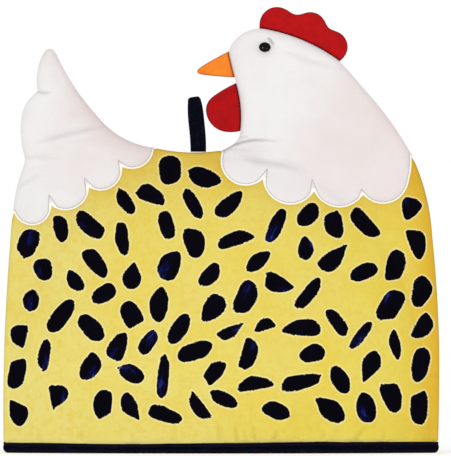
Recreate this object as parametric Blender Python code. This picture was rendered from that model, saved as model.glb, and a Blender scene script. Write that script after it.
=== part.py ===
"""A padded tea cosy in the shape of a sitting hen, standing open on its bound hem.

Two padded panels, front and back, are seamed together round the hen's outline and
left open along the hem. White cloth covers for the head and the tail lie over each
panel, with a scalloped free edge across the body. The comb, the beak and the wattle
are caught in the head seam, a folded tape loop in the seam of the back, and a strip
of binding wraps the raw hem of both panels all the way round.

+X runs from tail to head, the front panel faces -Y, +Z is up. The origin is the
middle of the hem, on the table. Sizes are in millimetres until a mesh is written.
"""

import math
from collections import namedtuple

import bmesh
import bpy
import numpy as np
from mathutils import Vector
from mathutils.geometry import delaunay_2d_cdt

MM = 0.001

# ---------------------------------------------------------------- driving sizes
SEAM_GAP = 0.30          # between the two panels where the seam holds them together
GAP = 0.35               # between one piece and the next
PAD_T = 6.0              # a padded panel, away from its seams
SEAM_T = 1.4             # the same panel pinched at its seam
EDGE_ROLL = 11.0         # how far in from a seam the padding reaches its thickness
STUFFING = 2.4           # extra fullness in the middle of the head and the tail
COVER_T = 1.2            # white cover cloth, turned under and pressed
COVER_OVER = 1.6         # how far a cover stands outside the panel it covers
COVER_END_OVER = 0.9     # and at the two ends of its seam
COVER_EDGE_T = 1.2       # a cover's half thickness right at the seam

HEM_T = 2.6              # a panel squeezed inside the binding
HEM_RISE = 12.0          # height over which it fills out again
BIND_H = 8.4             # binding, finished height
BIND_T = 1.1             # binding, folded cloth
BIND_INNER_HALF = 163.0  # half the binding's length along the inside
HEM_LOW = BIND_T + GAP   # a panel's raw edge, just above the binding's fold

CAVITY_DEPTH = 44.0      # half the opening, front to back, at the middle of the hem
CAVITY_HALF = 168.0      # half the opening's length along the hem
CAVITY_HIGH = 236.0      # top of the hollow
CAVITY_P, CAVITY_Q, CAVITY_R = 2.2, 2.4, 0.9
UNEVEN = 0.035           # how much a panel's bow wanders from the plain curve

EYE_W, EYE_H, EYE_HIGH = 9.4, 7.9, 3.4
EYE_X, EYE_Z = 35.0, 324.7

TRIM_T = 3.2             # comb, beak and wattle at their fullest
TRIM_EDGE_T = 1.0

LOOP_W, LOOP_TOP_W = 12.2, 9.4
LOOP_T = 1.1
LOOP_HIGH = 43.6
LOOP_X, LOOP_LEAN = -18.1, -3.6      # middle of its foot, and how far its fold leans
LOOP_FOOT, LOOP_BELLY = 0.78, 4.7    # each leg's distance from the seam, foot and belly

STEP = 9.5               # spacing of points along a seam
SCALLOP_STEP = 5.4       # and along a scalloped edge
GRID = 20.0              # and across a panel
RINGS = (1.3, 4.6)       # rows that follow a seam, for its rounded roll

# ---------------------------------------------------------------- outlines
# A row is one arc: where it starts, how far it bows out of its chord (out of the
# piece is positive), and whether the cloth has a true corner at its start.
Arc = namedtuple("Arc", "x z bow corner")

LEFT_SIDE = [
    Arc(-171.9, HEM_LOW, 0.0, True),
    Arc(-171.9, 9.0, -0.4, True),
    Arc(-175.2, 14.5, 0.5, False),
    Arc(-174.6, 92.0, 0.4, False),
    Arc(-170.0, 170.4, 0.3, False),
]
TAIL_SEAM = [
    Arc(-166.3, 193.5, 1.7, True),
    Arc(-157.7, 233.5, 0.8, False),
    Arc(-161.3, 257.0, 0.9, False),
    Arc(-158.6, 276.0, 1.3, False),
    Arc(-147.6, 289.4, 3.0, True),
    Arc(-142.3, 321.0, 3.2, False),
    Arc(-133.8, 321.5, -2.2, False),
    Arc(-98.3, 269.6, -4.4, False),
]
BACK_SEAM = [
    Arc(-53.6, 244.0, -2.7, True),
]
HEAD_SEAM = [
    Arc(1.0, 242.0, -2.3, True),
    Arc(15.0, 254.0, -2.4, False),
    Arc(12.2, 296.0, 0.0, False),
    Arc(5.9, 321.7, 4.5, False),
    Arc(30.6, 339.6, 4.2, False),
    Arc(94.8, 313.3, 3.3, False),
]
RIGHT_SIDE = [
    Arc(152.4, 238.6, 3.9, True),
    Arc(171.0, 173.0, 1.1, False),
    Arc(175.2, 84.0, 0.3, False),
    Arc(175.2, 14.5, -0.4, False),
    Arc(171.9, 9.0, 0.0, True),
]
HEM_END = Arc(171.9, HEM_LOW, 0.0, True)

TAIL_SCALLOPS = [
    Arc(-53.6, 244.0, 7.2, True),
    Arc(-78.6, 228.2, 9.5, True),
    Arc(-105.2, 211.7, 10.0, True),
    Arc(-135.3, 197.0, 14.0, True),
]
HEAD_SCALLOPS = [
    Arc(152.4, 238.6, 1.0, True),
    Arc(150.3, 217.3, 12.5, False),
    Arc(113.7, 205.9, 11.4, True),
    Arc(74.4, 208.6, 15.2, True),
    Arc(33.3, 218.2, 16.1, True),
]
# The comb, the beak and the wattle: their free edges, and where each ends on the head.
COMB = [
    Arc(30.9, 340.2, 10.9, True),
    Arc(55.5, 352.2, -1.6, False),
    Arc(65.6, 351.4, 5.2, False),
    Arc(84.2, 342.5, -1.4, False),
    Arc(90.5, 337.9, 9.0, False),
]
COMB_END = Arc(95.2, 313.8, 0.0, True)
BEAK = [
    Arc(10.0, 299.9, 0.3, True),
    Arc(-19.0, 303.0, 1.5, False),
    Arc(-19.3, 306.6, 0.5, False),
]
BEAK_END = Arc(5.4, 321.4, 0.0, True)
WATTLE = [
    Arc(14.9, 257.5, 0.3, True),
    Arc(9.3, 256.6, 6.7, False),
    Arc(-12.3, 275.1, 1.0, False),
    Arc(-7.9, 284.1, 0.6, False),
]
WATTLE_END = Arc(11.7, 295.6, 0.0, True)


# ---------------------------------------------------------------- curves
def arc_line(a, b, step):
    """Points along one arc, from a up to but not including b's start."""
    start, end = np.array([a.x, a.z]), np.array([b.x, b.z])
    chord = end - start
    length = np.linalg.norm(chord)
    along = chord / length
    out = np.array([-along[1], along[0]])
    n = max(2, math.ceil(length / step))
    t = np.arange(n) / n
    if abs(a.bow) < 1e-6:
        return start + np.outer(t, chord)
    bow = abs(a.bow)
    half = 2 * math.atan2(2 * bow, length)
    radius = length / 2 / math.sin(half)
    angle = (2 * t - 1) * half
    side = math.copysign(1.0, a.bow)
    return (
        (start + end) / 2
        + np.outer(radius * np.sin(angle), along)
        + np.outer(side * (radius * np.cos(angle) - radius + bow), out)
    )


def softened(points, rounds):
    """The same open run of points with its kinks eased and its two ends kept."""
    for _ in range(rounds):
        inner = (points[:-2] + 2 * points[1:-1] + points[2:]) / 4
        points = np.concatenate([points[:1], inner, points[-1:]])
    return points


def evenly(points, step):
    """An open run of points again, about step apart, both ends included."""
    along = np.concatenate([[0], np.cumsum(np.linalg.norm(np.diff(points, axis=0), axis=1))])
    at = np.linspace(0, along[-1], max(2, round(along[-1] / step)) + 1)
    return np.stack([np.interp(at, along, points[:, k]) for k in (0, 1)], axis=1)


def seam_line(arcs, end, step):
    """Points along a table of arcs up to end, evenly spaced between true corners."""
    rows = list(arcs) + [end]
    out, run = [], []
    for a, b in zip(rows[:-1], rows[1:]):
        run.append(arc_line(a, b, 1.0))
        if b.corner or b is end:
            points = np.concatenate(run + [[[b.x, b.z]]])
            out.append(evenly(softened(points, 14), step)[:-1])
            run = []
    return np.concatenate(out)


def inwards(line, closed):
    """Unit normals to the right of travel: into a piece that is drawn clockwise."""
    if closed:
        tangent = np.roll(line, -1, axis=0) - np.roll(line, 1, axis=0)
    else:
        tangent = np.gradient(line, axis=0)
    tangent /= np.linalg.norm(tangent, axis=1)[:, None]
    return np.stack([tangent[:, 1], -tangent[:, 0]], axis=1)


def distance(points, line):
    """How far each point is from an open polyline."""
    a, d = line[:-1], np.diff(line, axis=0)
    best = np.full(len(points), np.inf)
    for p, v in zip(a, d):
        t = np.clip(((points - p) @ v) / (v @ v), 0, 1)
        best = np.minimum(best, np.linalg.norm(points - p - t[:, None] * v, axis=1))
    return best


def inside(points, loop):
    """Which points lie inside a closed polygon."""
    x, z = points[:, 0], points[:, 1]
    found = np.zeros(len(points), bool)
    for (x0, z0), (x1, z1) in zip(loop, np.roll(loop, -1, axis=0)):
        if z0 == z1:
            continue
        crosses = (z0 > z) != (z1 > z)
        found ^= crosses & (x < (x1 - x0) * (z - z0) / (z1 - z0) + x0)
    return found


# ---------------------------------------------------------------- the cosy's shape
def whole(arcs, end, step):
    """A run of arcs with its end included."""
    return np.concatenate([seam_line(arcs, end, step), [[end.x, end.z]]])


def evenly_kept(line, step):
    """A polyline with points added between its own, none of which move."""
    out = []
    for a, b in zip(line[:-1], line[1:]):
        n = max(1, round(np.linalg.norm(b - a) / step))
        out.append(a + np.outer(np.arange(n) / n, b - a))
    return np.concatenate(out + [line[-1:]])


def tucked(seam, less):
    """A line inside a covered seam. It comes closer to the seam at the cover's two ends."""
    depth = np.full(len(seam), COVER_OVER - less)
    depth[[0, -1]] = COVER_END_OVER - less
    return seam + depth[:, None] * inwards(seam, False)


tail_seam = whole(TAIL_SEAM, BACK_SEAM[0], STEP)
back_seam = seam_line(BACK_SEAM, HEAD_SEAM[0], STEP)
head_seam = whole(HEAD_SEAM, RIGHT_SIDE[0], STEP)
tail_free = seam_line(TAIL_SCALLOPS, TAIL_SEAM[0], SCALLOP_STEP)[1:]
head_free = seam_line(HEAD_SCALLOPS, HEAD_SEAM[0], SCALLOP_STEP)[1:]
left_side = seam_line(LEFT_SIDE, TAIL_SEAM[0], STEP)
right_side = seam_line(RIGHT_SIDE, HEM_END, STEP)

# Under its covers a panel stops a little short of the hen's outline.
tail_under, head_under = tucked(tail_seam, 0.0), tucked(head_seam, 0.0)
panel_seam = np.concatenate(
    [left_side, tail_under, back_seam[1:], head_under, right_side[1:], [[HEM_END.x, HEM_END.z]]]
)
# The panels and the binding share one set of places along the hem, closer at the ends.
share = np.linspace(-1, 1, 21)
hem_x = HEM_END.x * np.sign(share) * (1 - (1 - np.abs(share)) ** 1.1)
hem = np.array([(x, HEM_LOW) for x in hem_x[-2:0:-1]])
panel_loop = np.concatenate([panel_seam, hem])


def smooth(low, high, value):
    """A ramp from 0 at low to 1 at high, level at both ends."""
    t = np.clip((value - low) / (high - low), 0, 1)
    return t * t * (3 - 2 * t)


def hollow(x, z, side):
    """Half the space between the panels. It closes towards the seam, the head and the tail."""
    left = 1 - np.abs(x / CAVITY_HALF) ** CAVITY_P - (np.maximum(z, 0) / CAVITY_HIGH) ** CAVITY_Q
    wander = side * np.sin(x / 41.0) * np.sin(z / 52.0 + 0.4)
    return CAVITY_DEPTH * np.maximum(left, 0) ** CAVITY_R * (1 + UNEVEN * wander)


def roll(from_seam, edge, full):
    """Thickness that rounds up from a seam's edge to its full value."""
    e = np.clip(from_seam / EDGE_ROLL, 0, 1)
    return edge + (full - edge) * np.sqrt(1 - (1 - e) ** 2)


def stuffed(from_seam, z):
    return STUFFING * smooth(226, 262, z) * (1 - np.exp(-((np.maximum(from_seam, 0) / 20) ** 2)))


def padding(points, from_seam):
    """A panel's thickness. The binding squeezes it along the hem."""
    z = points[:, 1]
    thick = roll(from_seam, SEAM_T, PAD_T) + stuffed(from_seam, z)
    squeezed = np.minimum(thick, HEM_T)
    return squeezed + (thick - squeezed) * smooth(BIND_H + 0.6, BIND_H + 0.6 + HEM_RISE, z)


def inner_face(points, side):
    return SEAM_GAP / 2 + hollow(points[:, 0], points[:, 1], side)


def outer_face(points, side):
    return inner_face(points, side) + padding(points, distance(points, panel_seam))


# ---------------------------------------------------------------- meshes
def triangles(loop, extra, edges=()):
    """A Delaunay net over a closed outline with more points, and edges to keep, inside it."""
    points = np.concatenate([loop, extra]) if len(extra) else loop
    made = delaunay_2d_cdt(
        [Vector(p) for p in points], list(edges), [list(range(len(loop)))], 1, 1e-5
    )
    if len(made[0]) != len(points):
        raise ValueError("two points of a piece coincide, or its outline crosses itself")
    index = [found[0] for found in made[3]]
    faces = np.array([[index[i] for i in face] for face in made[2]])
    a, b, c = (points[faces[:, k]] for k in range(3))
    turned = (b - a)[:, 0] * (c - a)[:, 1] - (b - a)[:, 1] * (c - a)[:, 0] < 0
    faces[turned] = faces[turned][:, ::-1]
    return points, faces


def shell(name, side, front, back, edge, material):
    """A solid between two nets of points. front and back are (points, faces, depths),
    whose first len(edge[0]) points are the outline; edge is the rows of (points, depths)
    between them, from the front's outline to the back's."""
    bm = bmesh.new()

    def verts(points, depths):
        return [
            bm.verts.new((x * MM, side * y * MM, z * MM))
            for (x, z), y in zip(points, depths)
        ]

    f = verts(front[0], front[2])
    b = verts(back[0], back[2])
    for face in front[1]:
        bm.faces.new([f[i] for i in face])
    for face in back[1]:
        bm.faces.new([b[i] for i in reversed(face)])
    n = len(edge[0])
    rows = [f[:n]] + [verts(p, d) for p, d in edge[1]] + [b[:n]]
    for upper, lower in zip(rows[:-1], rows[1:]):
        for i in range(n):
            j = (i + 1) % n
            bm.faces.new([upper[i], upper[j], lower[j], lower[i]])
    bmesh.ops.recalc_face_normals(bm, faces=bm.faces)
    return finish(name, bm, material)


def finish(name, bm, material):
    mesh = bpy.data.meshes.new(name)
    bm.to_mesh(mesh)
    bm.free()
    mesh.shade_smooth()
    mesh.set_sharp_from_angle(angle=math.radians(50))
    mesh.materials.append(material)
    obj = bpy.data.objects.new(name, mesh)
    bpy.context.scene.collection.objects.link(obj)
    obj.parent = cosy
    return obj


def grid_inside(loop, line, keep_off, low=0.0):
    """Points of one triangular grid that lie inside loop and keep off a line."""
    rows = np.arange(low, 360, GRID * math.sqrt(3) / 2)
    points = np.array(
        [
            (x + (GRID / 2 if k % 2 else 0), z)
            for k, z in enumerate(rows)
            for x in np.arange(-180, 181, GRID)
        ]
    )
    points = points[inside(points, loop)]
    return points[distance(points, line) > keep_off]


def material(name, colour, roughness, metallic=0.0):
    made = bpy.data.materials.new(name)
    made.use_nodes = True
    shader = made.node_tree.nodes["Principled BSDF"]
    shader.inputs["Base Color"].default_value = (*colour, 1)
    shader.inputs["Roughness"].default_value = roughness
    shader.inputs["Metallic"].default_value = metallic
    made.diffuse_color = (*colour, 1)
    return made


for obj in list(bpy.data.objects):
    bpy.data.objects.remove(obj)

cosy = bpy.data.objects.new("cosy", None)
bpy.context.scene.collection.objects.link(cosy)

YELLOW = material("yellow_cotton", (0.80, 0.66, 0.14), 0.85)
WHITE = material("white_cotton", (0.86, 0.82, 0.81), 0.85)
RED = material("red_cotton", (0.47, 0.010, 0.011), 0.8)
ORANGE = material("orange_cotton", (0.95, 0.26, 0.03), 0.8)
NAVY = material("navy_binding", (0.004, 0.004, 0.010), 0.75)
BLACK = material("black_bead", (0.004, 0.004, 0.004), 0.15)

# Rows of points that follow the seam, rows just above the binding, and an even field.
seam_rows = []
for depth in RINGS:
    row = panel_seam[2:-2] + depth * inwards(panel_seam, False)[2:-2]
    seam_rows.append(row[(distance(row, panel_seam) > 0.93 * depth) & (row[:, 1] > 24.0)])
low_rows = np.array(
    [(x, z) for z in (BIND_H + 0.6, BIND_H + 6.6, BIND_H + 0.6 + HEM_RISE) for x in hem_x[1:-1]]
)
field = grid_inside(panel_loop, panel_seam, RINGS[-1] + 5.0, low=BIND_H + HEM_RISE + 14.0)

# The covers' free edges are drawn on the panel, so that cover and panel fit face to face.
free_lines = []
for under, free in ((tail_under, tail_free), (head_under, head_free)):
    free_lines.append(np.concatenate([under[-1:], free, under[:1]]))
panel_extra = np.concatenate([low_rows, *seam_rows, field])
for line in free_lines:
    panel_extra = panel_extra[distance(panel_extra, line) > 2.2]
apart = np.linalg.norm(panel_extra[:, None] - panel_extra[None], axis=2)
keep = np.ones(len(panel_extra), bool)
for i in range(len(panel_extra)):
    if keep[i]:
        keep[(apart[i] < 2.2) & (np.arange(len(panel_extra)) > i)] = False
panel_extra = panel_extra[keep]

panel_points = np.concatenate([tail_free, head_free, panel_extra])
place = {tuple(p): i for i, p in enumerate(np.concatenate([panel_loop, panel_points]))}
free_edges = [
    (place[tuple(a)], place[tuple(b)])
    for line in free_lines
    for a, b in zip(line[:-1], line[1:])
]
panel_net = triangles(panel_loop, panel_points, free_edges)
panel_lining_net = triangles(panel_loop, np.concatenate([low_rows, field]))


def panel(name, side):
    points, faces = panel_net
    under, under_faces = panel_lining_net
    return shell(
        name,
        side,
        (points, faces, outer_face(points, side)),
        (under, under_faces, inner_face(under, side)),
        (panel_loop, []),
        YELLOW,
    )


def cover(name, side, seam, under, free):
    """A white cover: over the panel, down round its seamed edge, free along its scallops."""
    n = len(seam)
    inner_seam = tucked(seam, GAP)
    free_line = np.concatenate([under[-1:], free, under[:1]])
    edge_top = np.concatenate([seam, free_line])
    edge_low = np.concatenate([inner_seam, free_line])
    patch = np.concatenate([under, free])

    # the underside is the panel's own net under the cover, with a strip round the seam
    points, faces = panel_net
    faces = faces[inside(points[faces].mean(axis=1), patch)]
    low_place = {tuple(p): n + i for i, p in enumerate(free_line)}
    low_points = list(edge_low)
    for i in np.unique(faces):
        at = tuple(points[i])
        if at not in low_place:
            low_place[at] = len(low_points)
            low_points.append(points[i])
    low_faces = [[low_place[tuple(points[i])] for i in face] for face in faces]
    for i in range(n - 1):
        a, b = low_place[tuple(under[i])], low_place[tuple(under[i + 1])]
        low_faces += [[i, a, b], [i, b, i + 1]]
    low_points = np.array(low_points)

    def over(p):
        """Outer face: one cloth above the panel, and rounded down to the seam."""
        d = distance(p, seam)
        lift = GAP + COVER_T
        thick = roll(d, COVER_EDGE_T, PAD_T + lift) + stuffed(d - COVER_OVER, p[:, 1])
        return np.maximum(
            SEAM_GAP / 2 + hollow(p[:, 0], p[:, 1], side) + thick,
            np.where(d > COVER_OVER, outer_face(p, side) + lift, 0),
        )

    extra = panel_extra[inside(panel_extra, patch)]
    extra = extra[distance(extra, free_line) > 2.2]
    top_points, top_faces = triangles(edge_top, extra)

    # two rows of points carry the edge: round the seam they reach the gap between the
    # panels, along the scallops they lie in the turned edge of the cloth
    top, low = over(edge_top), outer_face(edge_low, side) + GAP
    sewn = np.arange(len(edge_top)) < n
    first = np.where(sewn, SEAM_GAP / 2, top - (top - low) / 3)
    second = np.where(sewn, SEAM_GAP / 2, top - (top - low) * 2 / 3)
    return shell(
        name,
        side,
        (top_points, top_faces, over(top_points)),
        (low_points, low_faces, outer_face(low_points, side) + GAP),
        (edge_top, [(edge_top, first), (edge_low, second)]),
        WHITE,
    )


def along_head(start, end):
    """The head's seam from one place to another, a gap outside it."""
    line = evenly_kept(head_seam, 0.5)
    first, last = (np.argmin(np.linalg.norm(line - (at.x, at.z), axis=1)) for at in (start, end))
    ends_of_chords = {tuple(p) for p in head_seam}
    kept = [k for k in range(first, last + 1)
            if k in (first, last) or tuple(line[k]) in ends_of_chords]
    return (line - GAP * 1.1 * inwards(line, False))[kept]


def trim(name, arcs, end, cloth, step):
    """Comb, beak or wattle: two layers of cloth turned out and pressed. Its free edge
    starts and ends on the head, and its base follows the head's seam back."""
    base = along_head(arcs[0], end)
    free = whole([arcs[0]._replace(x=base[0][0], z=base[0][1]), *arcs[1:]],
                 end._replace(x=base[-1][0], z=base[-1][1]), step)
    loop = np.concatenate([free, base[-2:0:-1]])
    ring = loop + 1.6 * inwards(loop, True)
    line = np.concatenate([loop, loop[:1]])
    ring = ring[(distance(ring, line) > 1.45) & inside(ring, loop)]
    far = np.array(
        [(x, z) for x in np.arange(-30, 120, 8.0) for z in np.arange(250, 365, 8.0)]
    )
    far = far[inside(far, loop)]
    far = far[distance(far, line) > 4.2]
    apart = np.linalg.norm(ring[:, None] - ring[None], axis=2)
    clear = np.array([(apart[i, :i] > 1.0).all() for i in range(len(ring))])
    points, faces = triangles(loop, np.concatenate([ring[clear], far]))
    d = distance(points, line)
    e = np.clip(d / 3.2, 0, 1)
    half = (TRIM_EDGE_T + (TRIM_T - TRIM_EDGE_T) * np.sqrt(1 - (1 - e) ** 2)) / 2
    return shell(name, 1, (points, faces, -half), (points, faces, half), (loop, []), cloth)


def binding():
    """A U-shaped strip of cloth round both panels' hems, all the way round."""
    end = HEM_END.x + GAP
    stations = []
    for side, order in ((-1, hem_x), (1, hem_x[::-1])):
        for x in order:
            outside = outer_face(np.array([[x, HEM_LOW]]), side)[0] + GAP
            xi = np.clip(x, -BIND_INNER_HALF, BIND_INNER_HALF)
            within = hollow(np.array([xi]), np.array([HEM_LOW]), side)[0] + SEAM_GAP / 2 - GAP
            if abs(x) == HEM_END.x:
                x = math.copysign(end, x)
            stations.append((side, x, outside, xi, within))
    bm = bmesh.new()
    rings = []
    for side, x, outside, xi, within in stations:
        end_push = BIND_T * math.copysign(1, x) if abs(x) == end else 0.0
        pull = BIND_T * math.copysign(1, xi) if abs(xi) == BIND_INNER_HALF else 0.0
        o_out = (x + end_push, side * (outside + BIND_T))
        o_in = (x, side * outside)
        i_out = (xi, side * within)
        i_in = (xi - pull, side * (within - BIND_T))
        rings.append(
            [
                bm.verts.new((px * MM, py * MM, pz * MM))
                for (px, py), pz in (
                    (o_out, 0.0),
                    (o_out, BIND_H),
                    (o_in, BIND_H),
                    (o_in, BIND_T),
                    (i_out, BIND_T),
                    (i_out, BIND_H),
                    (i_in, BIND_H),
                    (i_in, 0.0),
                )
            ]
        )
    for k, ring in enumerate(rings):
        after = rings[(k + 1) % len(rings)]
        for i in range(8):
            j = (i + 1) % 8
            bm.faces.new([ring[i], ring[j], after[j], after[i]])
    bmesh.ops.recalc_face_normals(bm, faces=bm.faces)
    return finish("hem_binding", bm, NAVY)


def loop_path(n=15):
    """The tape's middle line: up one leg, round the fold and down the other, as (y, height)."""
    points = []
    for k in range(2 * n + 1):
        t = k / (2 * n)
        rise = 1 - abs(2 * t - 1)                      # 0 at the feet, 1 at the fold
        high = LOOP_HIGH * math.sin(rise * math.pi / 2)
        swell = math.sin(math.pi * min(rise / 0.86, 1.0) ** 1.25 / 2)
        close = math.sqrt(max(0.0, 1 - max(0.0, (rise - 0.62) / 0.38) ** 2))
        reach = (LOOP_FOOT + (LOOP_BELLY - LOOP_FOOT) * swell) * close
        points.append((math.copysign(reach, t - 0.5) if k != n else 0.0, high))
    return np.array(points)


def tape_loop():
    path = loop_path()
    under_tape = LOOP_X + LOOP_W * np.array([-0.5, -0.25, 0.0, 0.25, 0.5])
    foot = np.interp(under_tape, back_seam[:, 0], back_seam[:, 1]).max() + GAP
    tangent = np.gradient(path, axis=0)
    tangent /= np.linalg.norm(tangent, axis=1)[:, None]
    normal = np.stack([-tangent[:, 1], tangent[:, 0]], axis=1)
    bm = bmesh.new()
    rings = []
    for (y, h), (ny, nh) in zip(path, normal):
        up = h / LOOP_HIGH
        x = LOOP_X + LOOP_LEAN * up**1.4
        w = (LOOP_W + (LOOP_TOP_W - LOOP_W) * up**5) / 2
        corners = []
        for sx, sn in ((-1, -1), (1, -1), (1, 1), (-1, 1)):
            corners.append(
                bm.verts.new(
                    (
                        (x + sx * w) * MM,
                        (y + sn * ny * LOOP_T / 2) * MM,
                        (foot + h + sn * nh * LOOP_T / 2) * MM,
                    )
                )
            )
        rings.append(corners)
    for a, b in zip(rings[:-1], rings[1:]):
        for i in range(4):
            j = (i + 1) % 4
            bm.faces.new([a[i], a[j], b[j], b[i]])
    bm.faces.new(rings[0][::-1])
    bm.faces.new(rings[-1])
    bmesh.ops.recalc_face_normals(bm, faces=bm.faces)
    return finish("hanging_loop", bm, NAVY)


def eye(name, side):
    """A domed bead: a turned profile with a flat back against the cover."""
    at = np.array([[EYE_X, EYE_Z]])
    d = distance(at, head_seam)
    lift = GAP + COVER_T
    face = (
        SEAM_GAP / 2
        + hollow(at[:, 0], at[:, 1], side)
        + roll(d, COVER_EDGE_T, PAD_T + lift)
        + stuffed(d, at[:, 1])
    )[0] + GAP + 0.25
    bm = bmesh.new()
    sides = 16
    profile = [(0.0, EYE_HIGH)] + [
        (math.sin(a), 0.8 + (EYE_HIGH - 0.8) * math.cos(a)) for a in np.radians([25, 50, 72, 90])
    ] + [(0.86, 0.0)]
    tip = bm.verts.new((EYE_X * MM, side * (face + EYE_HIGH) * MM, EYE_Z * MM))
    rings = [
        [
            bm.verts.new(
                (
                    (EYE_X + r * EYE_W / 2 * math.cos(2 * math.pi * k / sides)) * MM,
                    side * (face + h) * MM,
                    (EYE_Z + r * EYE_H / 2 * math.sin(2 * math.pi * k / sides)) * MM,
                )
            )
            for k in range(sides)
        ]
        for r, h in profile[1:]
    ]
    for k in range(sides):
        bm.faces.new([tip, rings[0][k], rings[0][(k + 1) % sides]])
    for a, b in zip(rings[:-1], rings[1:]):
        for k in range(sides):
            j = (k + 1) % sides
            bm.faces.new([a[k], a[j], b[j], b[k]])
    bm.faces.new(rings[-1])
    bmesh.ops.recalc_face_normals(bm, faces=bm.faces)
    return finish(name, bm, BLACK)


for side, word in ((-1, "front"), (1, "back")):
    panel(f"panel_{word}", side)
    cover(f"tail_cover_{word}", side, tail_seam, tail_under, tail_free)
    cover(f"head_cover_{word}", side, head_seam, head_under, head_free)
    eye(f"eye_{word}", side)
trim("comb", COMB, COMB_END, RED, 4.5)
trim("beak", BEAK, BEAK_END, ORANGE, 4.5)
trim("wattle", WATTLE, WATTLE_END, RED, 4.5)
tape_loop()
binding()
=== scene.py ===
import math
from collections import namedtuple

import bmesh
import bpy
import numpy as np
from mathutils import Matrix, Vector
from mathutils.geometry import delaunay_2d_cdt
from mathutils.kdtree import KDTree


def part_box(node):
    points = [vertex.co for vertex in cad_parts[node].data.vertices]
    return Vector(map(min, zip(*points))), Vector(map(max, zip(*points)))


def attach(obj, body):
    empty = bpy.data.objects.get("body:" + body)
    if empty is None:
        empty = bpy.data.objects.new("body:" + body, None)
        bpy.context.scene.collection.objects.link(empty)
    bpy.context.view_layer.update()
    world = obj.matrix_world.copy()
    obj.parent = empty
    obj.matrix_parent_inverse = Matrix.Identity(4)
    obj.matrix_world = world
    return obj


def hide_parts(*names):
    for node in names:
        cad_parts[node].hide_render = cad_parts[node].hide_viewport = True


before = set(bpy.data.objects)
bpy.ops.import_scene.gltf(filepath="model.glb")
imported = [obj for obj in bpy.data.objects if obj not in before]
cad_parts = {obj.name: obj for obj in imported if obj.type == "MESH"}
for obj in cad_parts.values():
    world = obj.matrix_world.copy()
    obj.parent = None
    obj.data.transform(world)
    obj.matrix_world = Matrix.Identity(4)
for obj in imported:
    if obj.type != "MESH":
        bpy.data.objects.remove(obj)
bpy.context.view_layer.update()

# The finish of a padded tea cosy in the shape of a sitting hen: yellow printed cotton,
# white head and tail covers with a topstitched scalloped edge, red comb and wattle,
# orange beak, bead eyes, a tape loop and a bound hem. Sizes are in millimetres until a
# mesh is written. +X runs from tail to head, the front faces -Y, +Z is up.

MM = 0.001

# ---------------------------------------------------------------- sizes, as in the frame
SEAM_GAP = 0.05
GAP = 0.35
PAD_T = 6.0
EDGE_ROLL = 11.0
STUFFING = 2.4
COVER_T = 1.2
COVER_OVER = 1.6
COVER_END_OVER = 0.9
HEM_T = 2.6
BIND_H = 8.4
BIND_T = 1.1
BIND_INNER_HALF = 163.0
HEM_LOW = BIND_T + GAP
HEM_END_RISE = 1.9       # how far a panel's raw edge runs up at the two ends of the hem
CAVITY_DEPTH, CAVITY_HALF, CAVITY_HIGH = 44.0, 168.0, 236.0
CAVITY_P, CAVITY_Q, CAVITY_R = 2.2, 2.4, 0.9
UNEVEN = 0.035
EYE_W, EYE_H, EYE_HIGH = 9.4, 7.9, 3.4
EYE_X, EYE_Z = 35.0, 324.4
LOOP_W, LOOP_TOP_W = 12.2, 9.4
LOOP_T = 1.1
LOOP_HIGH = 43.6
LOOP_X, LOOP_LEAN = -18.1, -3.6
LOOP_FOOT, LOOP_BELLY = 0.78, 4.7

# ---------------------------------------------------------------- sizes of the finish
SEAM_STEP = 1.5          # spacing of points along a seam
FREE_STEP = 0.9          # and along a scalloped edge
CLOTH_GRID = 1.9         # and across the cloth
BACK_GRID = 11.0         # across a face that nobody sees closely
STITCH_IN = 1.75         # topstitching, in from a scalloped edge
STITCH_LONG, STITCH_GAP, THREAD_R = 2.0, 0.75, 0.17

Arc = namedtuple("Arc", "x z bow corner")

LEFT_SIDE = [
    Arc(-172.6, HEM_LOW, 0.0, True),
    Arc(-172.6, 8.3, 0.0, True),
    Arc(-174.0, 9.9, 0.5, True),
    Arc(-173.2, 92.0, 0.4, False),
    Arc(-168.5, 170.4, 0.3, False),
]
TAIL_SEAM = [
    Arc(-166.3, 193.5, 1.7, True),
    Arc(-156.2, 233.5, 0.8, False),
    Arc(-160.4, 257.0, 0.9, False),
    Arc(-157.7, 276.0, 1.3, False),
    Arc(-146.6, 289.3, 3.0, True),
    Arc(-141.3, 321.0, 3.2, False),
    Arc(-132.8, 321.3, -2.6, False),
    Arc(-98.3, 268.6, -5.1, False),
]
BACK_SEAM = [
    Arc(-53.6, 244.0, -2.7, True),
]
HEAD_SEAM = [
    Arc(1.0, 242.0, -0.3, True),
    Arc(10.8, 247.5, -0.8, False),
    Arc(15.2, 254.0, -2.4, False),
    Arc(12.2, 296.0, 0.0, False),
    Arc(5.9, 321.7, 4.5, False),
    Arc(30.6, 339.6, 4.2, False),
    Arc(94.8, 313.3, 0.2, False),
    Arc(113.6, 292.0, 2.0, False),
]
RIGHT_SIDE = [
    Arc(152.4, 238.6, 3.3, True),
    Arc(169.0, 173.0, 0.95, False),
    Arc(174.6, 84.0, 0.3, False),
    Arc(173.8, 10.2, 0.0, True),
    Arc(172.6, 8.6, 0.0, True),
]
HEM_END = Arc(172.6, HEM_LOW, 0.0, True)
TAIL_SCALLOPS = [
    Arc(-53.6, 244.0, 0.4, True),
    Arc(-54.6, 237.6, 5.4, False),
    Arc(-78.6, 228.2, 9.5, True),
    Arc(-105.2, 211.7, 10.0, True),
    Arc(-135.3, 197.0, 14.0, True),
]
HEAD_SCALLOPS = [
    Arc(152.4, 238.6, 1.0, True),
    Arc(150.3, 217.3, 12.5, False),
    Arc(113.7, 205.9, 11.4, True),
    Arc(74.4, 208.6, 15.2, True),
    Arc(33.3, 218.2, 16.1, True),
]
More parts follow.
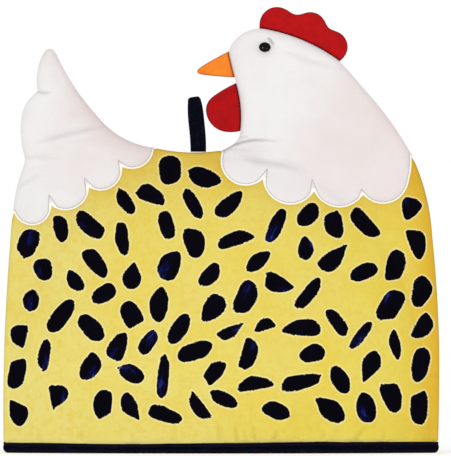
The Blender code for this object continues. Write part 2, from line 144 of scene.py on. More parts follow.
COMB = [
    Arc(30.9, 340.2, 10.9, True),
    Arc(55.5, 352.2, -1.6, False),
    Arc(65.6, 351.4, 5.2, False),
    Arc(84.2, 342.5, -1.4, False),
    Arc(90.5, 337.9, 9.0, False),
]
COMB_END = Arc(95.2, 313.8, 0.0, True)
BEAK = [
    Arc(10.0, 299.9, 0.3, True),
    Arc(-19.0, 303.0, 1.5, False),
    Arc(-19.3, 306.6, 0.5, False),
]
BEAK_END = Arc(5.4, 321.4, 0.0, True)
WATTLE = [
    Arc(14.9, 257.5, 0.3, True),
    Arc(9.3, 256.6, 6.7, False),
    Arc(-12.3, 275.1, 1.0, False),
    Arc(-7.9, 284.1, 0.6, False),
]
WATTLE_END = Arc(11.7, 295.6, 0.0, True)

# Where the topstitching of two neighbouring scallops meets, above each notch.
TAIL_TIPS = [(-82.3, 233.9), (-109.4, 219.8), (-137.5, 206.3)]
HEAD_TIPS = [(112.3, 210.6), (73.0, 218.6), (37.1, 227.2)]

# A crease: its line, how wide and deep its trough is, how much the cloth stands up along
# its two sides, left and right of travel, and whether it starts sharply, at a seam.
Crease = namedtuple("Crease", "line width depth left right sharp")
TAIL_CREASES = [
    Crease([(-148.0, 289.4), (-144.5, 288.0), (-140.0, 287.6), (-134.0, 288.4)], 1.1, 1.3, 0.2, 0.4, True),
    Crease([(-152.0, 246.6), (-142.0, 249.2), (-117.8, 255.8), (-98.0, 259.8), (-84.0, 263.4)], 2.3, 1.6, 0.1, 0.55, False),
    Crease([(-157.6, 235.6), (-147.0, 236.6), (-130.4, 235.4), (-120.0, 236.6)], 2.6, 0.9, 0.2, 0.4, True),
    Crease([(-160.6, 213.6), (-154.0, 217.6), (-145.4, 221.4), (-138.0, 222.0)], 1.9, 0.8, 0.1, 0.4, True),
    Crease([(-156.0, 226.0), (-148.0, 228.0)], 1.8, 0.4, 0.1, 0.2, False),
    Crease([(-122.0, 268.0), (-104.0, 274.0)], 4.5, 0.6, 0.2, 0.2, False),
    Crease([(-141.0, 305.0), (-129.0, 298.0)], 4.5, 0.5, 0.2, 0.2, False),
    Crease([(-112.0, 246.0), (-92.0, 248.0), (-76.0, 244.0)], 4.5, 0.6, 0.2, 0.3, False),
]
HEAD_CREASES = [
    Crease([(1.6, 241.4), (6.0, 244.0), (8.4, 245.5), (10.8, 246.6), (14.0, 247.6), (17.0, 248.5), (21.6, 249.4), (26.4, 250.0), (32.8, 250.1), (40.8, 249.1), (54.0, 248.4)], 1.1, 1.9, 0.6, 0.3, True),
    Crease([(1.6, 241.6), (6.0, 244.1), (8.4, 245.6), (10.8, 246.7), (14.0, 247.6), (18.0, 248.6)], 0.9, 1.4, 0.1, 0.0, True),
    Crease([(15.8, 252.4), (20.0, 253.0), (24.0, 252.6)], 1.3, 0.7, 0.2, 0.1, True),
    Crease([(6.0, 243.0), (14.0, 242.6), (24.0, 241.0), (32.0, 241.0)], 1.5, 0.6, 0.2, 0.2, True),
    Crease([(12.0, 238.6), (17.2, 236.4), (22.0, 234.2), (28.4, 233.2), (34.8, 232.0), (41.2, 231.2), (47.6, 230.6), (54.0, 229.2), (60.4, 227.2), (68.4, 224.6), (76.0, 221.6)], 2.2, 1.6, 0.6, 0.3, False),
    Crease([(46.0, 236.0), (58.0, 231.4), (70.0, 225.6)], 2.4, 0.5, 0.2, 0.2, False),
    Crease([(46.0, 322.0), (58.0, 317.6), (70.0, 313.6), (86.0, 309.6), (98.0, 306.0)], 3.0, 1.3, 0.5, 0.2, False),
    Crease([(38.2, 331.2), (39.6, 330.2), (40.7, 329.0), (41.4, 327.4), (41.7, 325.8), (41.7, 324.0)], 1.05, 1.9, 0.5, 0.2, True),
]
PANEL_CREASES = [
    Crease([(-176.0, 87.0), (-164.0, 86.0), (-150.0, 87.0)], 2.8, 0.9, 0.3, 0.3, True),
    Crease([(-176.0, 150.0), (-166.0, 152.0)], 2.6, 0.6, 0.2, 0.2, True),
    Crease([(106.0, 6.0), (110.0, 14.0), (117.0, 22.0)], 1.9, 1.3, 0.6, 0.3, True),
    Crease([(128.0, 6.0), (132.0, 17.0)], 1.9, 0.8, 0.3, 0.3, True),
    Crease([(80.0, 6.0), (82.0, 20.0)], 1.9, 0.7, 0.3, 0.3, True),
    Crease([(-0.5, 6.0), (-1.5, 20.0), (-4.0, 30.0)], 2.0, 1.2, 0.4, 0.3, True),
    Crease([(12.5, 6.0), (12.0, 18.0), (10.0, 26.0)], 1.7, 1.3, 0.4, 0.4, True),
    Crease([(19.0, 6.0), (19.0, 22.0)], 1.5, 0.9, 0.3, 0.4, True),
    Crease([(27.0, 6.0), (26.0, 23.0)], 1.6, 1.1, 0.4, 0.3, True),
    Crease([(42.0, 6.0), (45.0, 22.0)], 1.7, 1.2, 0.4, 0.4, True),
    Crease([(60.0, 6.0), (62.0, 17.0)], 1.9, 0.7, 0.3, 0.3, True),
    Crease([(-38.0, 6.0), (-37.0, 18.0), (-34.0, 27.0)], 2.0, 0.8, 0.3, 0.4, True),
    Crease([(-70.0, 6.0), (-73.0, 22.0)], 2.0, 0.7, 0.3, 0.3, True),
    Crease([(-112.0, 6.0), (-110.0, 24.0)], 2.2, 0.8, 0.3, 0.3, True),
    Crease([(-146.0, 6.0), (-147.0, 20.0)], 2.0, 0.6, 0.3, 0.3, True),
    Crease([(176.0, 60.0), (164.0, 62.0)], 2.6, 0.8, 0.3, 0.3, True),
    Crease([(172.0, 128.0), (160.0, 127.0)], 2.8, 0.7, 0.2, 0.3, True),
    Crease([(-54.0, 244.0), (-50.0, 236.0)], 2.2, 0.6, 0.2, 0.2, True),
    Crease([(-10.0, 243.0), (-8.0, 232.0)], 2.6, 0.5, 0.2, 0.2, True),
]

# The binding's height, which wanders a little from the tail side to the head side.
BAND_HEIGHTS = [(-174, 8.2), (-75, 7.6), (7, 8.4), (71, 9.2), (174, 8.9)]


# ---------------------------------------------------------------- curves
def arc_line(a, b, step):
    """Points along one arc, from a up to but not including b's start."""
    start, end = np.array([a.x, a.z]), np.array([b.x, b.z])
    chord = end - start
    length = np.linalg.norm(chord)
    along = chord / length
    out = np.array([-along[1], along[0]])
    n = max(2, math.ceil(length / step))
    t = np.arange(n) / n
    if abs(a.bow) < 1e-6:
        return start + np.outer(t, chord)
    bow = abs(a.bow)
    half = 2 * math.atan2(2 * bow, length)
    radius = length / 2 / math.sin(half)
    angle = (2 * t - 1) * half
    side = math.copysign(1.0, a.bow)
    return (
        (start + end) / 2
        + np.outer(radius * np.sin(angle), along)
        + np.outer(side * (radius * np.cos(angle) - radius + bow), out)
    )


def softened(points, rounds):
    """The same open run of points with its kinks eased and its two ends kept."""
    for _ in range(rounds):
        inner = (points[:-2] + 2 * points[1:-1] + points[2:]) / 4
        points = np.concatenate([points[:1], inner, points[-1:]])
    return points


def length_along(points):
    return np.concatenate([[0], np.cumsum(np.linalg.norm(np.diff(points, axis=0), axis=1))])


def evenly(points, step):
    """An open run of points again, about step apart, both ends included."""
    along = length_along(points)
    at = np.linspace(0, along[-1], max(2, round(along[-1] / step)) + 1)
    return np.stack([np.interp(at, along, points[:, k]) for k in range(points.shape[1])], axis=1)


def lobes(arcs, end, step):
    """The runs between true corners of a table of arcs, each with both its ends."""
    rows = list(arcs) + [end]
    out, run = [], []
    for a, b in zip(rows[:-1], rows[1:]):
        run.append(arc_line(a, b, 1.0))
        if b.corner or b is end:
            points = np.concatenate(run + [[[b.x, b.z]]])
            out.append(evenly(softened(points, 14), step))
            run = []
    return out


def whole(arcs, end, step):
    """Points along a table of arcs, evenly spaced between true corners, end included."""
    runs = lobes(arcs, end, step)
    return np.concatenate([run[:-1] for run in runs] + [[[end.x, end.z]]])


def inwards(line, closed=False):
    """Unit normals to the right of travel: into a piece that is drawn clockwise."""
    if closed:
        tangent = np.roll(line, -1, axis=0) - np.roll(line, 1, axis=0)
    else:
        tangent = np.gradient(line, axis=0)
    tangent /= np.linalg.norm(tangent, axis=1)[:, None]
    return np.stack([tangent[:, 1], -tangent[:, 0]], axis=1)


ready = {}


def prepared(line):
    """A polyline with a search tree over it, kept for the next time it is asked for."""
    if id(line) not in ready:
        dense = evenly_kept(line, 2.0)
        tree = KDTree(len(dense))
        for i, (x, z) in enumerate(dense.tolist()):
            tree.insert((x, z, 0), i)
        tree.balance()
        ready[id(line)] = (line, dense, tree, length_along(dense))
    return ready[id(line)][1:]


def nearest(points, line):
    """Distance to an open polyline, signed by its side (left of travel is positive), and
    how far along it the nearest place is."""
    dense, tree, along = prepared(line)
    find = tree.find
    at = np.array([find((x, z, 0))[1] for x, z in points.tolist()], int)
    best, side, place = np.full(len(points), np.inf), np.ones(len(points)), np.zeros(len(points))
    for shift in (-1, 0):
        i = np.clip(at + shift, 0, len(dense) - 2)
        a, v = dense[i], dense[i + 1] - dense[i]
        t = np.clip(((points - a) * v).sum(axis=1) / (v * v).sum(axis=1), 0, 1)
        off = points - a - t[:, None] * v
        d = np.hypot(off[:, 0], off[:, 1])
        closer = d < best
        best = np.where(closer, d, best)
        cross = v[:, 0] * (points - a)[:, 1] - v[:, 1] * (points - a)[:, 0]
        side = np.where(closer, np.where(cross < 0, -1.0, 1.0), side)
        place = np.where(closer, along[i] + t * (along[i + 1] - along[i]), place)
    return best * side, place


def distance(points, line):
    return np.abs(nearest(points, line)[0])


def evenly_kept(line, step):
    """A polyline with points added between its own, none of which move."""
    lengths = np.linalg.norm(np.diff(line, axis=0), axis=1)
    n = np.maximum(1, np.round(lengths / step).astype(int))
    which = np.repeat(np.arange(len(n)), n)
    first = np.repeat(np.cumsum(n) - n, n)
    share = (np.arange(len(which)) - first) / n[which]
    made = line[:-1][which] + share[:, None] * (line[1:] - line[:-1])[which]
    return np.concatenate([made, line[-1:]])


def inside(points, loop):
    """Which points lie inside a closed polygon."""
    x, z = points[:, 0], points[:, 1]
    found = np.zeros(len(points), bool)
    for (x0, z0), (x1, z1) in zip(loop, np.roll(loop, -1, axis=0)):
        if z0 == z1:
            continue
        crosses = (z0 > z) != (z1 > z)
        found ^= crosses & (x < (x1 - x0) * (z - z0) / (z1 - z0) + x0)
    return found


def smooth(low, high, value):
    """A ramp from 0 at low to 1 at high, level at both ends."""
    t = np.clip((value - low) / (high - low), 0, 1)
    return t * t * (3 - 2 * t)


# ---------------------------------------------------------------- even noise from a seed
class Wander:
    """A smooth random height over the plane: a sum of a few seeded waves."""

    def __init__(self, seed, size, waves=14):
        rng = np.random.default_rng(seed)
        angle = rng.uniform(0, math.pi, waves)
        scale = 2 * math.pi / (size * rng.uniform(0.6, 1.6, waves))
        self.k = np.stack([np.cos(angle), np.sin(angle)], axis=1) * scale[:, None]
        self.phase = rng.uniform(0, 2 * math.pi, waves)
        self.norm = math.sqrt(2 / waves)

    def __call__(self, points):
        return self.norm * np.sin(points @ self.k.T + self.phase).sum(axis=1)


# ---------------------------------------------------------------- the cosy's lines
tail_seam = whole(TAIL_SEAM, BACK_SEAM[0], SEAM_STEP)
back_seam = whole(BACK_SEAM, HEAD_SEAM[0], SEAM_STEP)
head_seam = whole(HEAD_SEAM, RIGHT_SIDE[0], SEAM_STEP)
left_side = whole(LEFT_SIDE, TAIL_SEAM[0], SEAM_STEP)
right_side = whole(RIGHT_SIDE, HEM_END, SEAM_STEP)
tail_free = whole(TAIL_SCALLOPS, TAIL_SEAM[0], FREE_STEP)
head_free = whole(HEAD_SCALLOPS, HEAD_SEAM[0], FREE_STEP)
hen_seam = np.concatenate(
    [left_side[:-1], tail_seam[:-1], back_seam[:-1], head_seam[:-1], right_side]
)


def tucked(seam, less):
    """A line inside a covered seam. It comes closer to the seam at the cover's two ends."""
    along = length_along(seam)
    from_end = np.minimum(along, along[-1] - along)
    depth = COVER_END_OVER + (COVER_OVER - COVER_END_OVER) * smooth(0, 9.0, from_end) - less
    return seam + depth[:, None] * inwards(seam)


def stepped_in(side, at_end):
    """A side's line drawn in over its last 8 mm, to meet the panel's edge under a cover."""
    along = length_along(side)
    to_end = (along[-1] - along) if at_end else along
    return side + (COVER_END_OVER * (1 - smooth(0, 8.0, to_end)))[:, None] * inwards(side)


panel_seam = np.concatenate(
    [
        stepped_in(left_side, True)[:-1],
        tucked(tail_seam, 0.0),
        back_seam[2:-2],
        tucked(head_seam, 0.0),
        stepped_in(right_side, False)[1:],
    ]
)
hem_line = evenly(np.array([[HEM_END.x, HEM_LOW], [-HEM_END.x, HEM_LOW]]), SEAM_STEP)[1:-1]
panel_loop = np.concatenate([panel_seam, hem_line])
tail_patch = np.concatenate([tail_seam, tail_free[1:-1]])
head_patch = np.concatenate([head_seam, head_free[1:-1]])


def stitch_path(arcs, end, tips):
    """Topstitching along each scallop, which runs up to a point above every notch."""
    out = []
    runs = lobes(arcs, end, 0.5)
    for k, run in enumerate(runs):
        # the white cover lies to the right of its free edge's travel
        line = run + STITCH_IN * inwards(run)
        along = length_along(line)
        first = 0.0 if k == 0 else 3.4
        last = along[-1] if k == len(runs) - 1 else along[-1] - 3.4
        kept = line[(along >= first) & (along <= last)]
        parts = [kept]
        if k > 0:
            parts.insert(0, np.array([tips[k - 1]]))
        if k < len(runs) - 1:
            parts.append(np.array([tips[k]]))
        out.append(softened(evenly(np.concatenate(parts), 0.5), 6))
    return out


tail_stitches = stitch_path(TAIL_SCALLOPS, TAIL_SEAM[0], TAIL_TIPS)
head_stitches = stitch_path(HEAD_SCALLOPS, HEAD_SEAM[0], HEAD_TIPS)


# ---------------------------------------------------------------- heights
def hollow(points, side):
    """Half the space between the panels."""
    x, z = points[:, 0], points[:, 1]
    left = 1 - np.abs(x / CAVITY_HALF) ** CAVITY_P - (np.maximum(z, 0) / CAVITY_HIGH) ** CAVITY_Q
    wander = side * np.sin(x / 41.0) * np.sin(z / 52.0 + 0.4)
    return CAVITY_DEPTH * np.maximum(left, 0) ** CAVITY_R * (1 + UNEVEN * wander)


def roll(from_seam, edge, full):
    """Thickness that rounds up from a seam's edge to its full value."""
    e = np.clip(from_seam / EDGE_ROLL, 0, 1)
    return edge + (full - edge) * np.sqrt(1 - (1 - e) ** 2)


def stuffed(from_seam, z):
    return STUFFING * smooth(226, 262, z) * (1 - np.exp(-((np.maximum(from_seam, 0) / 20) ** 2)))


def creases_of(side):
    """The creases of one side. The back is creased less, and elsewhere."""
    creases = PANEL_CREASES + TAIL_CREASES + HEAD_CREASES
    if side < 0:
        return creases
    return [
        c._replace(line=[(x * 0.97 + 3.0, z - 4.0) for x, z in c.line], depth=c.depth * 0.5)
        for c in creases
        if c.line[0][0] > -174 and c.width > 1.2
    ]


def crease_rows(side, loop):
    """Rows of points along the tighter creases, for a net fine enough to hold them."""
    out = []
    for c in creases_of(side):
        if c.width < 2.5:
            line = softened(evenly(np.array(c.line, float), 0.8), 14)
            for off in (0.0, -0.45, 0.45, -0.9, 0.9, -1.5, 1.5, -2.2, 2.2):
                row = line + off * c.width * inwards(line)
                out.append((row[inside(row, loop)], 0.45 if c.width < 1.3 else 0.75))
    return out


def creased(points, creases):
    """How far the creases move the cloth out, and how much painted shade each place gets for lying deep in one."""
    out, deep = np.zeros(len(points)), np.zeros(len(points))
    for c in creases:
        line = softened(evenly(np.array(c.line, float), 1.0), 10)
        reach = 4.5 * c.width
        low, high = line.min(axis=0) - reach, line.max(axis=0) + reach
        near = ((points > low) & (points < high)).all(axis=1)
        if not near.any():
            continue
        d, along = nearest(points[near], line)
        total = length_along(line)[-1]
        # it narrows and dies out towards each end, but not where it starts at a seam
        start_fade = 1.0 if c.sharp else smooth(-0.5, 0.3 * total, along)
        end_fade = start_fade * smooth(-0.5, (0.6 if c.sharp else 0.4) * total, total - along)
        w = c.width
        trough = -c.depth * np.exp(-((d / w) ** 2))
        left = c.left * np.exp(-(((d - 1.9 * w) / (1.3 * w)) ** 2))
        right = c.right * np.exp(-(((d + 1.9 * w) / (1.3 * w)) ** 2))
        out[near] += (trough + left + right) * end_fade
        # painted shade: a tight fold is painted dark, a broad one hardly
        crease_shade = 0.62 * min(c.depth / 1.9, 1.0) / w**0.9 * np.exp(-((d / (0.66 * w)) ** 2)) * end_fade
        deep[near] = 1 - (1 - deep[near]) * (1 - crease_shade)
    return out, deep


broad = {-1: Wander(3, 85.0), 1: Wander(4, 85.0)}
fine = {-1: Wander(5, 26.0), 1: Wander(6, 26.0)}
rucks = {-1: Wander(7, 10.0), 1: Wander(8, 10.0)}
seam_rucks = {-1: Wander(9, 9.0), 1: Wander(10, 9.0)}


def softness(points, from_seam, side):
    """The small unevenness of padded cloth, none of it at a seam."""
    away = smooth(0, 14, from_seam)
    pulled = smooth(0.4, 2.5, from_seam) * np.exp(-from_seam / 4.5)
    return away * (0.55 * broad[side](points) + 0.16 * fine[side](points)) + 0.28 * pulled * seam_rucks[side](
        points
    )


def band_high(points, side):
    """How high the binding stands at each place. The back's is the front's, mirrored."""
    at = np.array(BAND_HEIGHTS)
    x = points[:, 0] if side < 0 else -points[:, 0]
    return np.interp(x, at[:, 0], at[:, 1])


def at_hem(points, side):
    """Rucks where the binding gathers the cloth, which die out above it."""
    up = points[:, 1] - band_high(points, side)
    stretched = points * np.array([1.0, 0.28])
    return 0.42 * np.exp(-np.maximum(up, 0) / 8.0) * smooth(0.4, 3.0, up) * rucks[side](stretched)


def pressed(points, stitched):
    """The padding is drawn in along a line of stitching through it."""
    return -0.5 * np.exp(-((np.abs(stitched) / 3.0) ** 2))


class Face:
    """Everything that the heights of one side need, measured once for a set of points."""

    def __init__(self, points, side, mirror=False):
        self.p, self.side = points, side
        self.z = points[:, 1]
        self.hen = distance(points, hen_seam)
        self.panel = distance(points, panel_seam)
        self.hollow = hollow(points, side)
        self.tail_edge = distance(points, tail_free)
        self.head_edge = distance(points, head_free)
        self.edge = np.minimum(self.tail_edge, self.head_edge)
        self.in_cover = inside(points, tail_patch) | inside(points, head_patch)
        self.soft = softness(points, self.hen, side) + at_hem(points, side)
        self.folds, self.deep = creased(points, creases_of(side))
        self.folds = self.folds * smooth(0.1, 1.8, self.hen)
        to_eye = np.hypot((points[:, 0] - EYE_X) / 1.15, points[:, 1] - EYE_Z)
        self.folds += -0.65 * np.exp(-(((to_eye - 5.2) / 2.6) ** 2))

    def panel_out(self):
        """The panel's outer face: padding that rounds up from the seam, and its folds."""
        thick = roll(self.panel, 0.25, PAD_T) + stuffed(self.panel, self.z)
        squeezed = np.minimum(thick, HEM_T)
        up = self.z - band_high(self.p, self.side)
        thick = squeezed + (thick - squeezed) * np.sqrt(1 - (1 - np.clip((up + 0.3) / 7.0, 0, 1)) ** 2)
        out = thick + (self.soft + self.folds) * smooth(-0.2, 2.0, up) + pressed(self.p, self.edge)
        # out of the way where a cover lies on it
        out -= np.where(self.in_cover, 0.55 * smooth(0.8, 4.0, self.edge), 0)
        inner = 1.2 * smooth(0, 3, self.panel)
        return SEAM_GAP / 2 + self.hollow + np.maximum(out, inner)

    def cover_out(self, edge, stitched):
        """A cover's outer face, in one with the panel's seam and turned under at its edge."""
        lift = GAP + COVER_T
        thick = roll(self.hen, 0.25, PAD_T + lift) + stuffed(self.hen - COVER_OVER, self.z)
        over = SEAM_GAP / 2 + self.hollow + thick + self.soft + self.folds + pressed(self.p, self.edge)
        # along the scallops the cloth is turned under: a rounded edge, then the stitching
        e = np.clip(edge / 1.1, 0, 1)
        turned = lift - (lift - 0.28) * (1 - np.sqrt(1 - (1 - e) ** 2))
        groove = -0.50 * np.exp(-((stitched / 0.42) ** 2))
        puff = 0.30 * smooth(0.3, 3.4, stitched)
        fade = smooth(0.0, 3.0, self.hen)
        on_free = over - lift + turned + (groove + puff) * fade
        return np.where(edge < 12, on_free, over + 0.30 * fade)


# ---------------------------------------------------------------- nets and meshes
def spaced(kept, new, apart):
    """new points that keep off the kept ones, and off each other's near neighbours."""
    tree = KDTree(len(kept))
    for i, (x, z) in enumerate(kept.tolist()):
        tree.insert((x, z, 0), i)
    tree.balance()
    find = tree.find
    clear = [find((x, z, 0))[2] > apart for x, z in new.tolist()]
    return new[np.array(clear, bool)]


def thinned(points, apart):
    """points without any that lie closer than apart to an earlier one."""
    kept, seen = [], {}
    for i, (x, z) in enumerate(points.tolist()):
        cx, cz = math.floor(x / apart), math.floor(z / apart)
        close = any(
            (px - x) ** 2 + (pz - z) ** 2 < apart * apart
            for dx in (-1, 0, 1)
            for dz in (-1, 0, 1)
            for px, pz in seen.get((cx + dx, cz + dz), ())
        )
        if not close:
            seen.setdefault((cx, cz), []).append((x, z))
            kept.append(i)
    return points[kept]


def hex_grid(loop, step):
    low, high = loop.min(axis=0), loop.max(axis=0)
    rows = np.arange(low[1], high[1], step * math.sqrt(3) / 2)
    xs = np.arange(low[0], high[0] + step, step)
    points = np.concatenate(
        [np.stack([xs + (step / 2 if k % 2 else 0), np.full(len(xs), z)], axis=1) for k, z in enumerate(rows)]
    )
    return points[inside(points, loop)]


def triangles(loop, extra):
    """A Delaunay net over a closed outline with more points inside it."""
    points = np.concatenate([loop, extra]) if len(extra) else loop
    made = delaunay_2d_cdt([Vector(p) for p in points], [], [list(range(len(loop)))], 1, 1e-6)
    if len(made[0]) != len(points):
        raise ValueError("two points of a piece coincide, or its outline crosses itself")
    index = np.array([found[0] for found in made[3]])
    faces = index[np.array(made[2])]
    a, b, c = (points[faces[:, k]] for k in range(3))
    turned = (b - a)[:, 0] * (c - a)[:, 1] - (b - a)[:, 1] * (c - a)[:, 0] < 0
    faces[turned] = faces[turned][:, ::-1]
    return points, faces


def rows_along(line, depths, loop):
    """Rows of points inside a piece that follow one of its edges."""
    out = []
    for depth in depths:
        row = line + depth * inwards(line)
        ok = (distance(row, line) > 0.93 * depth) & inside(row, loop)
        out.append(row[ok])
    return out


def net(loop, rows, step, keep_off):
    """A piece's net: its outline, rows near its edges, and an even grid elsewhere."""
    taken = [loop]
    for apart in sorted({a for _, a in rows}):
        new = np.concatenate([r for r, a in rows if a == apart])
        new = new[inside(new, loop)]
        new = thinned(new, apart)
        taken.append(spaced(np.concatenate(taken), new, apart))
    field = hex_grid(loop, step)
    field = spaced(np.concatenate(taken), field, keep_off)
    return triangles(loop, np.concatenate(taken[1:] + [field]))


def build(name, points, faces, materials, slots=None, replaces=(), attributes=None):
    """A mesh from points in millimetres, riding on the cosy."""
    mesh = bpy.data.meshes.new(name)
    mesh.from_pydata((np.asarray(points) * MM).tolist(), [], [list(map(int, f)) for f in faces])
    for m in materials:
        mesh.materials.append(m)
    if slots is not None:
        mesh.polygons.foreach_set("material_index", np.asarray(slots, np.int32))
    for key, values in (attributes or {}).items():
        made = mesh.attributes.new(key, "FLOAT", "POINT")
        made.data.foreach_set("value", np.asarray(values, np.float32))
    bm = bmesh.new()
    bm.from_mesh(mesh)
    bmesh.ops.recalc_face_normals(bm, faces=bm.faces)
    bm.to_mesh(mesh)
    bm.free()
    mesh.shade_smooth()
    obj = bpy.data.objects.new(name, mesh)
    bpy.context.scene.collection.objects.link(obj)
    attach(obj, "root")
    if replaces:
        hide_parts(*replaces)
    return obj


def shell(name, side, front, back, edge, materials, replaces, attributes=None):
    """A closed solid between two nets with the same outline, as in the frame."""
    n = len(edge[0])
    blocks, faces = [], []

    def add(points, depths):
        start = sum(len(b) for b in blocks)
        blocks.append(np.stack([points[:, 0], side * depths, points[:, 1]], axis=1))
        return start

    f, b = add(front[0], front[2]), add(back[0], back[2])
    faces += [tuple(face + f) for face in front[1]]
    faces += [tuple(face[::-1] + b) for face in back[1]]
    rows = [f] + [add(p, d) for p, d in edge[1]] + [b]
    i = np.arange(n)
    j = (i + 1) % n
    for upper, lower in zip(rows[:-1], rows[1:]):
        faces += list(zip(upper + i, upper + j, lower + j, lower + i))
    points = np.concatenate(blocks)
    slots = np.zeros(len(faces), np.int32)
    if len(materials) > 1:
        slots[len(front[1]) : len(front[1]) + len(back[1])] = 1
    full = {}
    for key, (values, rest) in (attributes or {}).items():
        all_values = np.full(len(points), float(rest))
        all_values[: len(values)] = values
        for start in rows[1:-1]:
            all_values[start : start + n] = values[:n]
        full[key] = all_values
    return build(name, points, faces, materials, slots, replaces=replaces, attributes=full)


# ---------------------------------------------------------------- the printed dabs
# The print is loose brush dabs laid one by one. Which way they lean changes slowly over
# the cloth: a row gives the lean, in degrees from +X, at a place, and how alike they are.
Lean = namedtuple("Lean", "x z angle alike")
LEANS = [
    Lean(-147, 213, 60, 0.6), Lean(-147, 155, 101, 0.9), Lean(-147, 97, 72, 0.8), Lean(-147, 38, 80, 0.6),
    Lean(-89, 213, 101, 0.9), Lean(-89, 155, 132, 0.3), Lean(-89, 97, 102, 0.6), Lean(-89, 38, 108, 0.7),
    Lean(-30, 213, 166, 0.8), Lean(-30, 155, 80, 0.4), Lean(-30, 97, 66, 0.7), Lean(-30, 38, 112, 0.3),
    Lean(30, 213, 38, 0.8), Lean(30, 155, 44, 0.9), Lean(30, 97, 8, 0.3), Lean(30, 38, 22, 0.7),
    Lean(86, 213, 60, 0.6), Lean(86, 155, 56, 0.5), Lean(86, 97, 122, 0.4), Lean(86, 38, 156, 0.7),
    Lean(146, 213, 100, 0.8), Lean(146, 155, 97, 0.8), Lean(146, 97, 84, 0.8), Lean(146, 38, 106, 0.7),
]
DAB_COUNT = 79
DAB_LONG, DAB_LONG_VARY = 25.4, 4.2
DAB_WIDE, DAB_WIDE_VARY = 13.8, 2.4
DAB_APART = 5.6          # from edge to edge
DAB_KEEP_OFF = 3.6       # clear of seams and scallops


def lean_at(points, rng):
    """The lean of a dab at each place, scattered less where neighbours lean alike."""
    at = np.array([(l.x, l.z) for l in LEANS], float)
    angle = np.radians([l.angle for l in LEANS])
    alike = np.array([l.alike for l in LEANS])
    d = np.linalg.norm(points[:, None] - at[None], axis=2)
    w = np.exp(-((d / 38.0) ** 2))
    c, s = (w * alike * np.cos(2 * angle)).sum(axis=1), (w * alike * np.sin(2 * angle)).sum(axis=1)
    spread = 1 - np.hypot(c, s) / w.sum(axis=1)
    return np.arctan2(s, c) / 2 + rng.normal(0, 1, len(points)) * (0.12 + 0.75 * spread)


def reach(dabs, towards):
    """How far each dab reaches in a direction; towards is (n, ..., 2)."""
    extra = (1,) * (towards.ndim - 2)
    c, s = (f(dabs["angle"]).reshape(-1, *extra) for f in (np.cos, np.sin))
    u = towards[..., 0] * c + towards[..., 1] * s
    v = towards[..., 1] * c - towards[..., 0] * s
    return np.hypot(u * dabs["long"].reshape(-1, *extra) / 2, v * dabs["wide"].reshape(-1, *extra) / 2)


def lay_dabs(seed, field_loop, count):
    """Seeded places for the dabs, pushed apart until none crowds its neighbours."""
    rng = np.random.default_rng(seed)
    low, high = field_loop.min(axis=0), field_loop.max(axis=0)
    line = np.concatenate([field_loop, field_loop[:1]])
    tries = rng.uniform(low, high, (6000, 2))
    tries = tries[inside(tries, field_loop)]
    tries = tries[distance(tries, line) > 8]
    places, room = [tries[0]], 23.0
    while len(places) < count:
        for q in tries:
            if len(places) < count and np.linalg.norm(np.array(places) - q, axis=1).min() > room:
                places.append(q)
        room *= 0.96
    p = np.array(places)
    dabs = {
        "long": np.clip(rng.normal(DAB_LONG, DAB_LONG_VARY, count), 18.0, 36.0),
        "wide": np.clip(rng.normal(DAB_WIDE, DAB_WIDE_VARY, count), 8.6, 18.0),
        "angle": lean_at(p, rng),
    }
    for turn in range(170):
        off = p[:, None] - p[None]
        d = np.linalg.norm(off, axis=2) + np.eye(count) * 1e6
        away = off / d[..., None]
        r = reach(dabs, away)
        push = np.clip(r + r.T + DAB_APART - d, 0, None) * 0.25
        move = (away * push[..., None]).sum(axis=1)
        edge = distance(p, line)
        h = 0.5
        grad = np.stack(
            [distance(p + np.eye(2)[k] * h, line) - distance(p - np.eye(2)[k] * h, line) for k in (0, 1)], axis=1
        )
        grad /= np.maximum(np.linalg.norm(grad, axis=1), 1e-6)[:, None]
        want = reach(dabs, grad) + DAB_KEEP_OFF
        move += grad * (np.clip(want - edge, 0, None) * 0.8)[:, None]
        p = p + np.clip(move, -3, 3)
        if turn == 80:
            dabs["angle"] = lean_at(p, np.random.default_rng(seed + 1))
    dabs["at"] = p
    return dabs


def end_shape(rng):
    """How one end of a dab closes: blunt, round, pointed or drawn out."""
    return [(3.4, 0.40), (2.1, 0.50), (1.7, 0.72), (1.15, 1.0)][rng.choice(4, p=[0.33, 0.40, 0.20, 0.07])]


def cut_off(shape, normal, reach):
    """A closed outline without what lies beyond a straight line."""
    out = []
    for a, b in zip(shape, np.roll(shape, -1, axis=0)):
        da, db = a @ normal - reach, b @ normal - reach
        if da <= 0:
            out.append(a)
        if (da <= 0) != (db <= 0):
            out.append(a + (b - a) * da / (da - db))
    return np.array(out)


def off_outline(points, loop):
    """How far each point is from a closed outline of a few straight edges."""
    v = np.roll(loop, -1, axis=0) - loop
    off = points[:, None] - loop
    t = np.clip((off * v).sum(axis=2) / (v * v).sum(axis=1), 0, 1)
    return np.linalg.norm(off - t[..., None] * v, axis=2).min(axis=1)


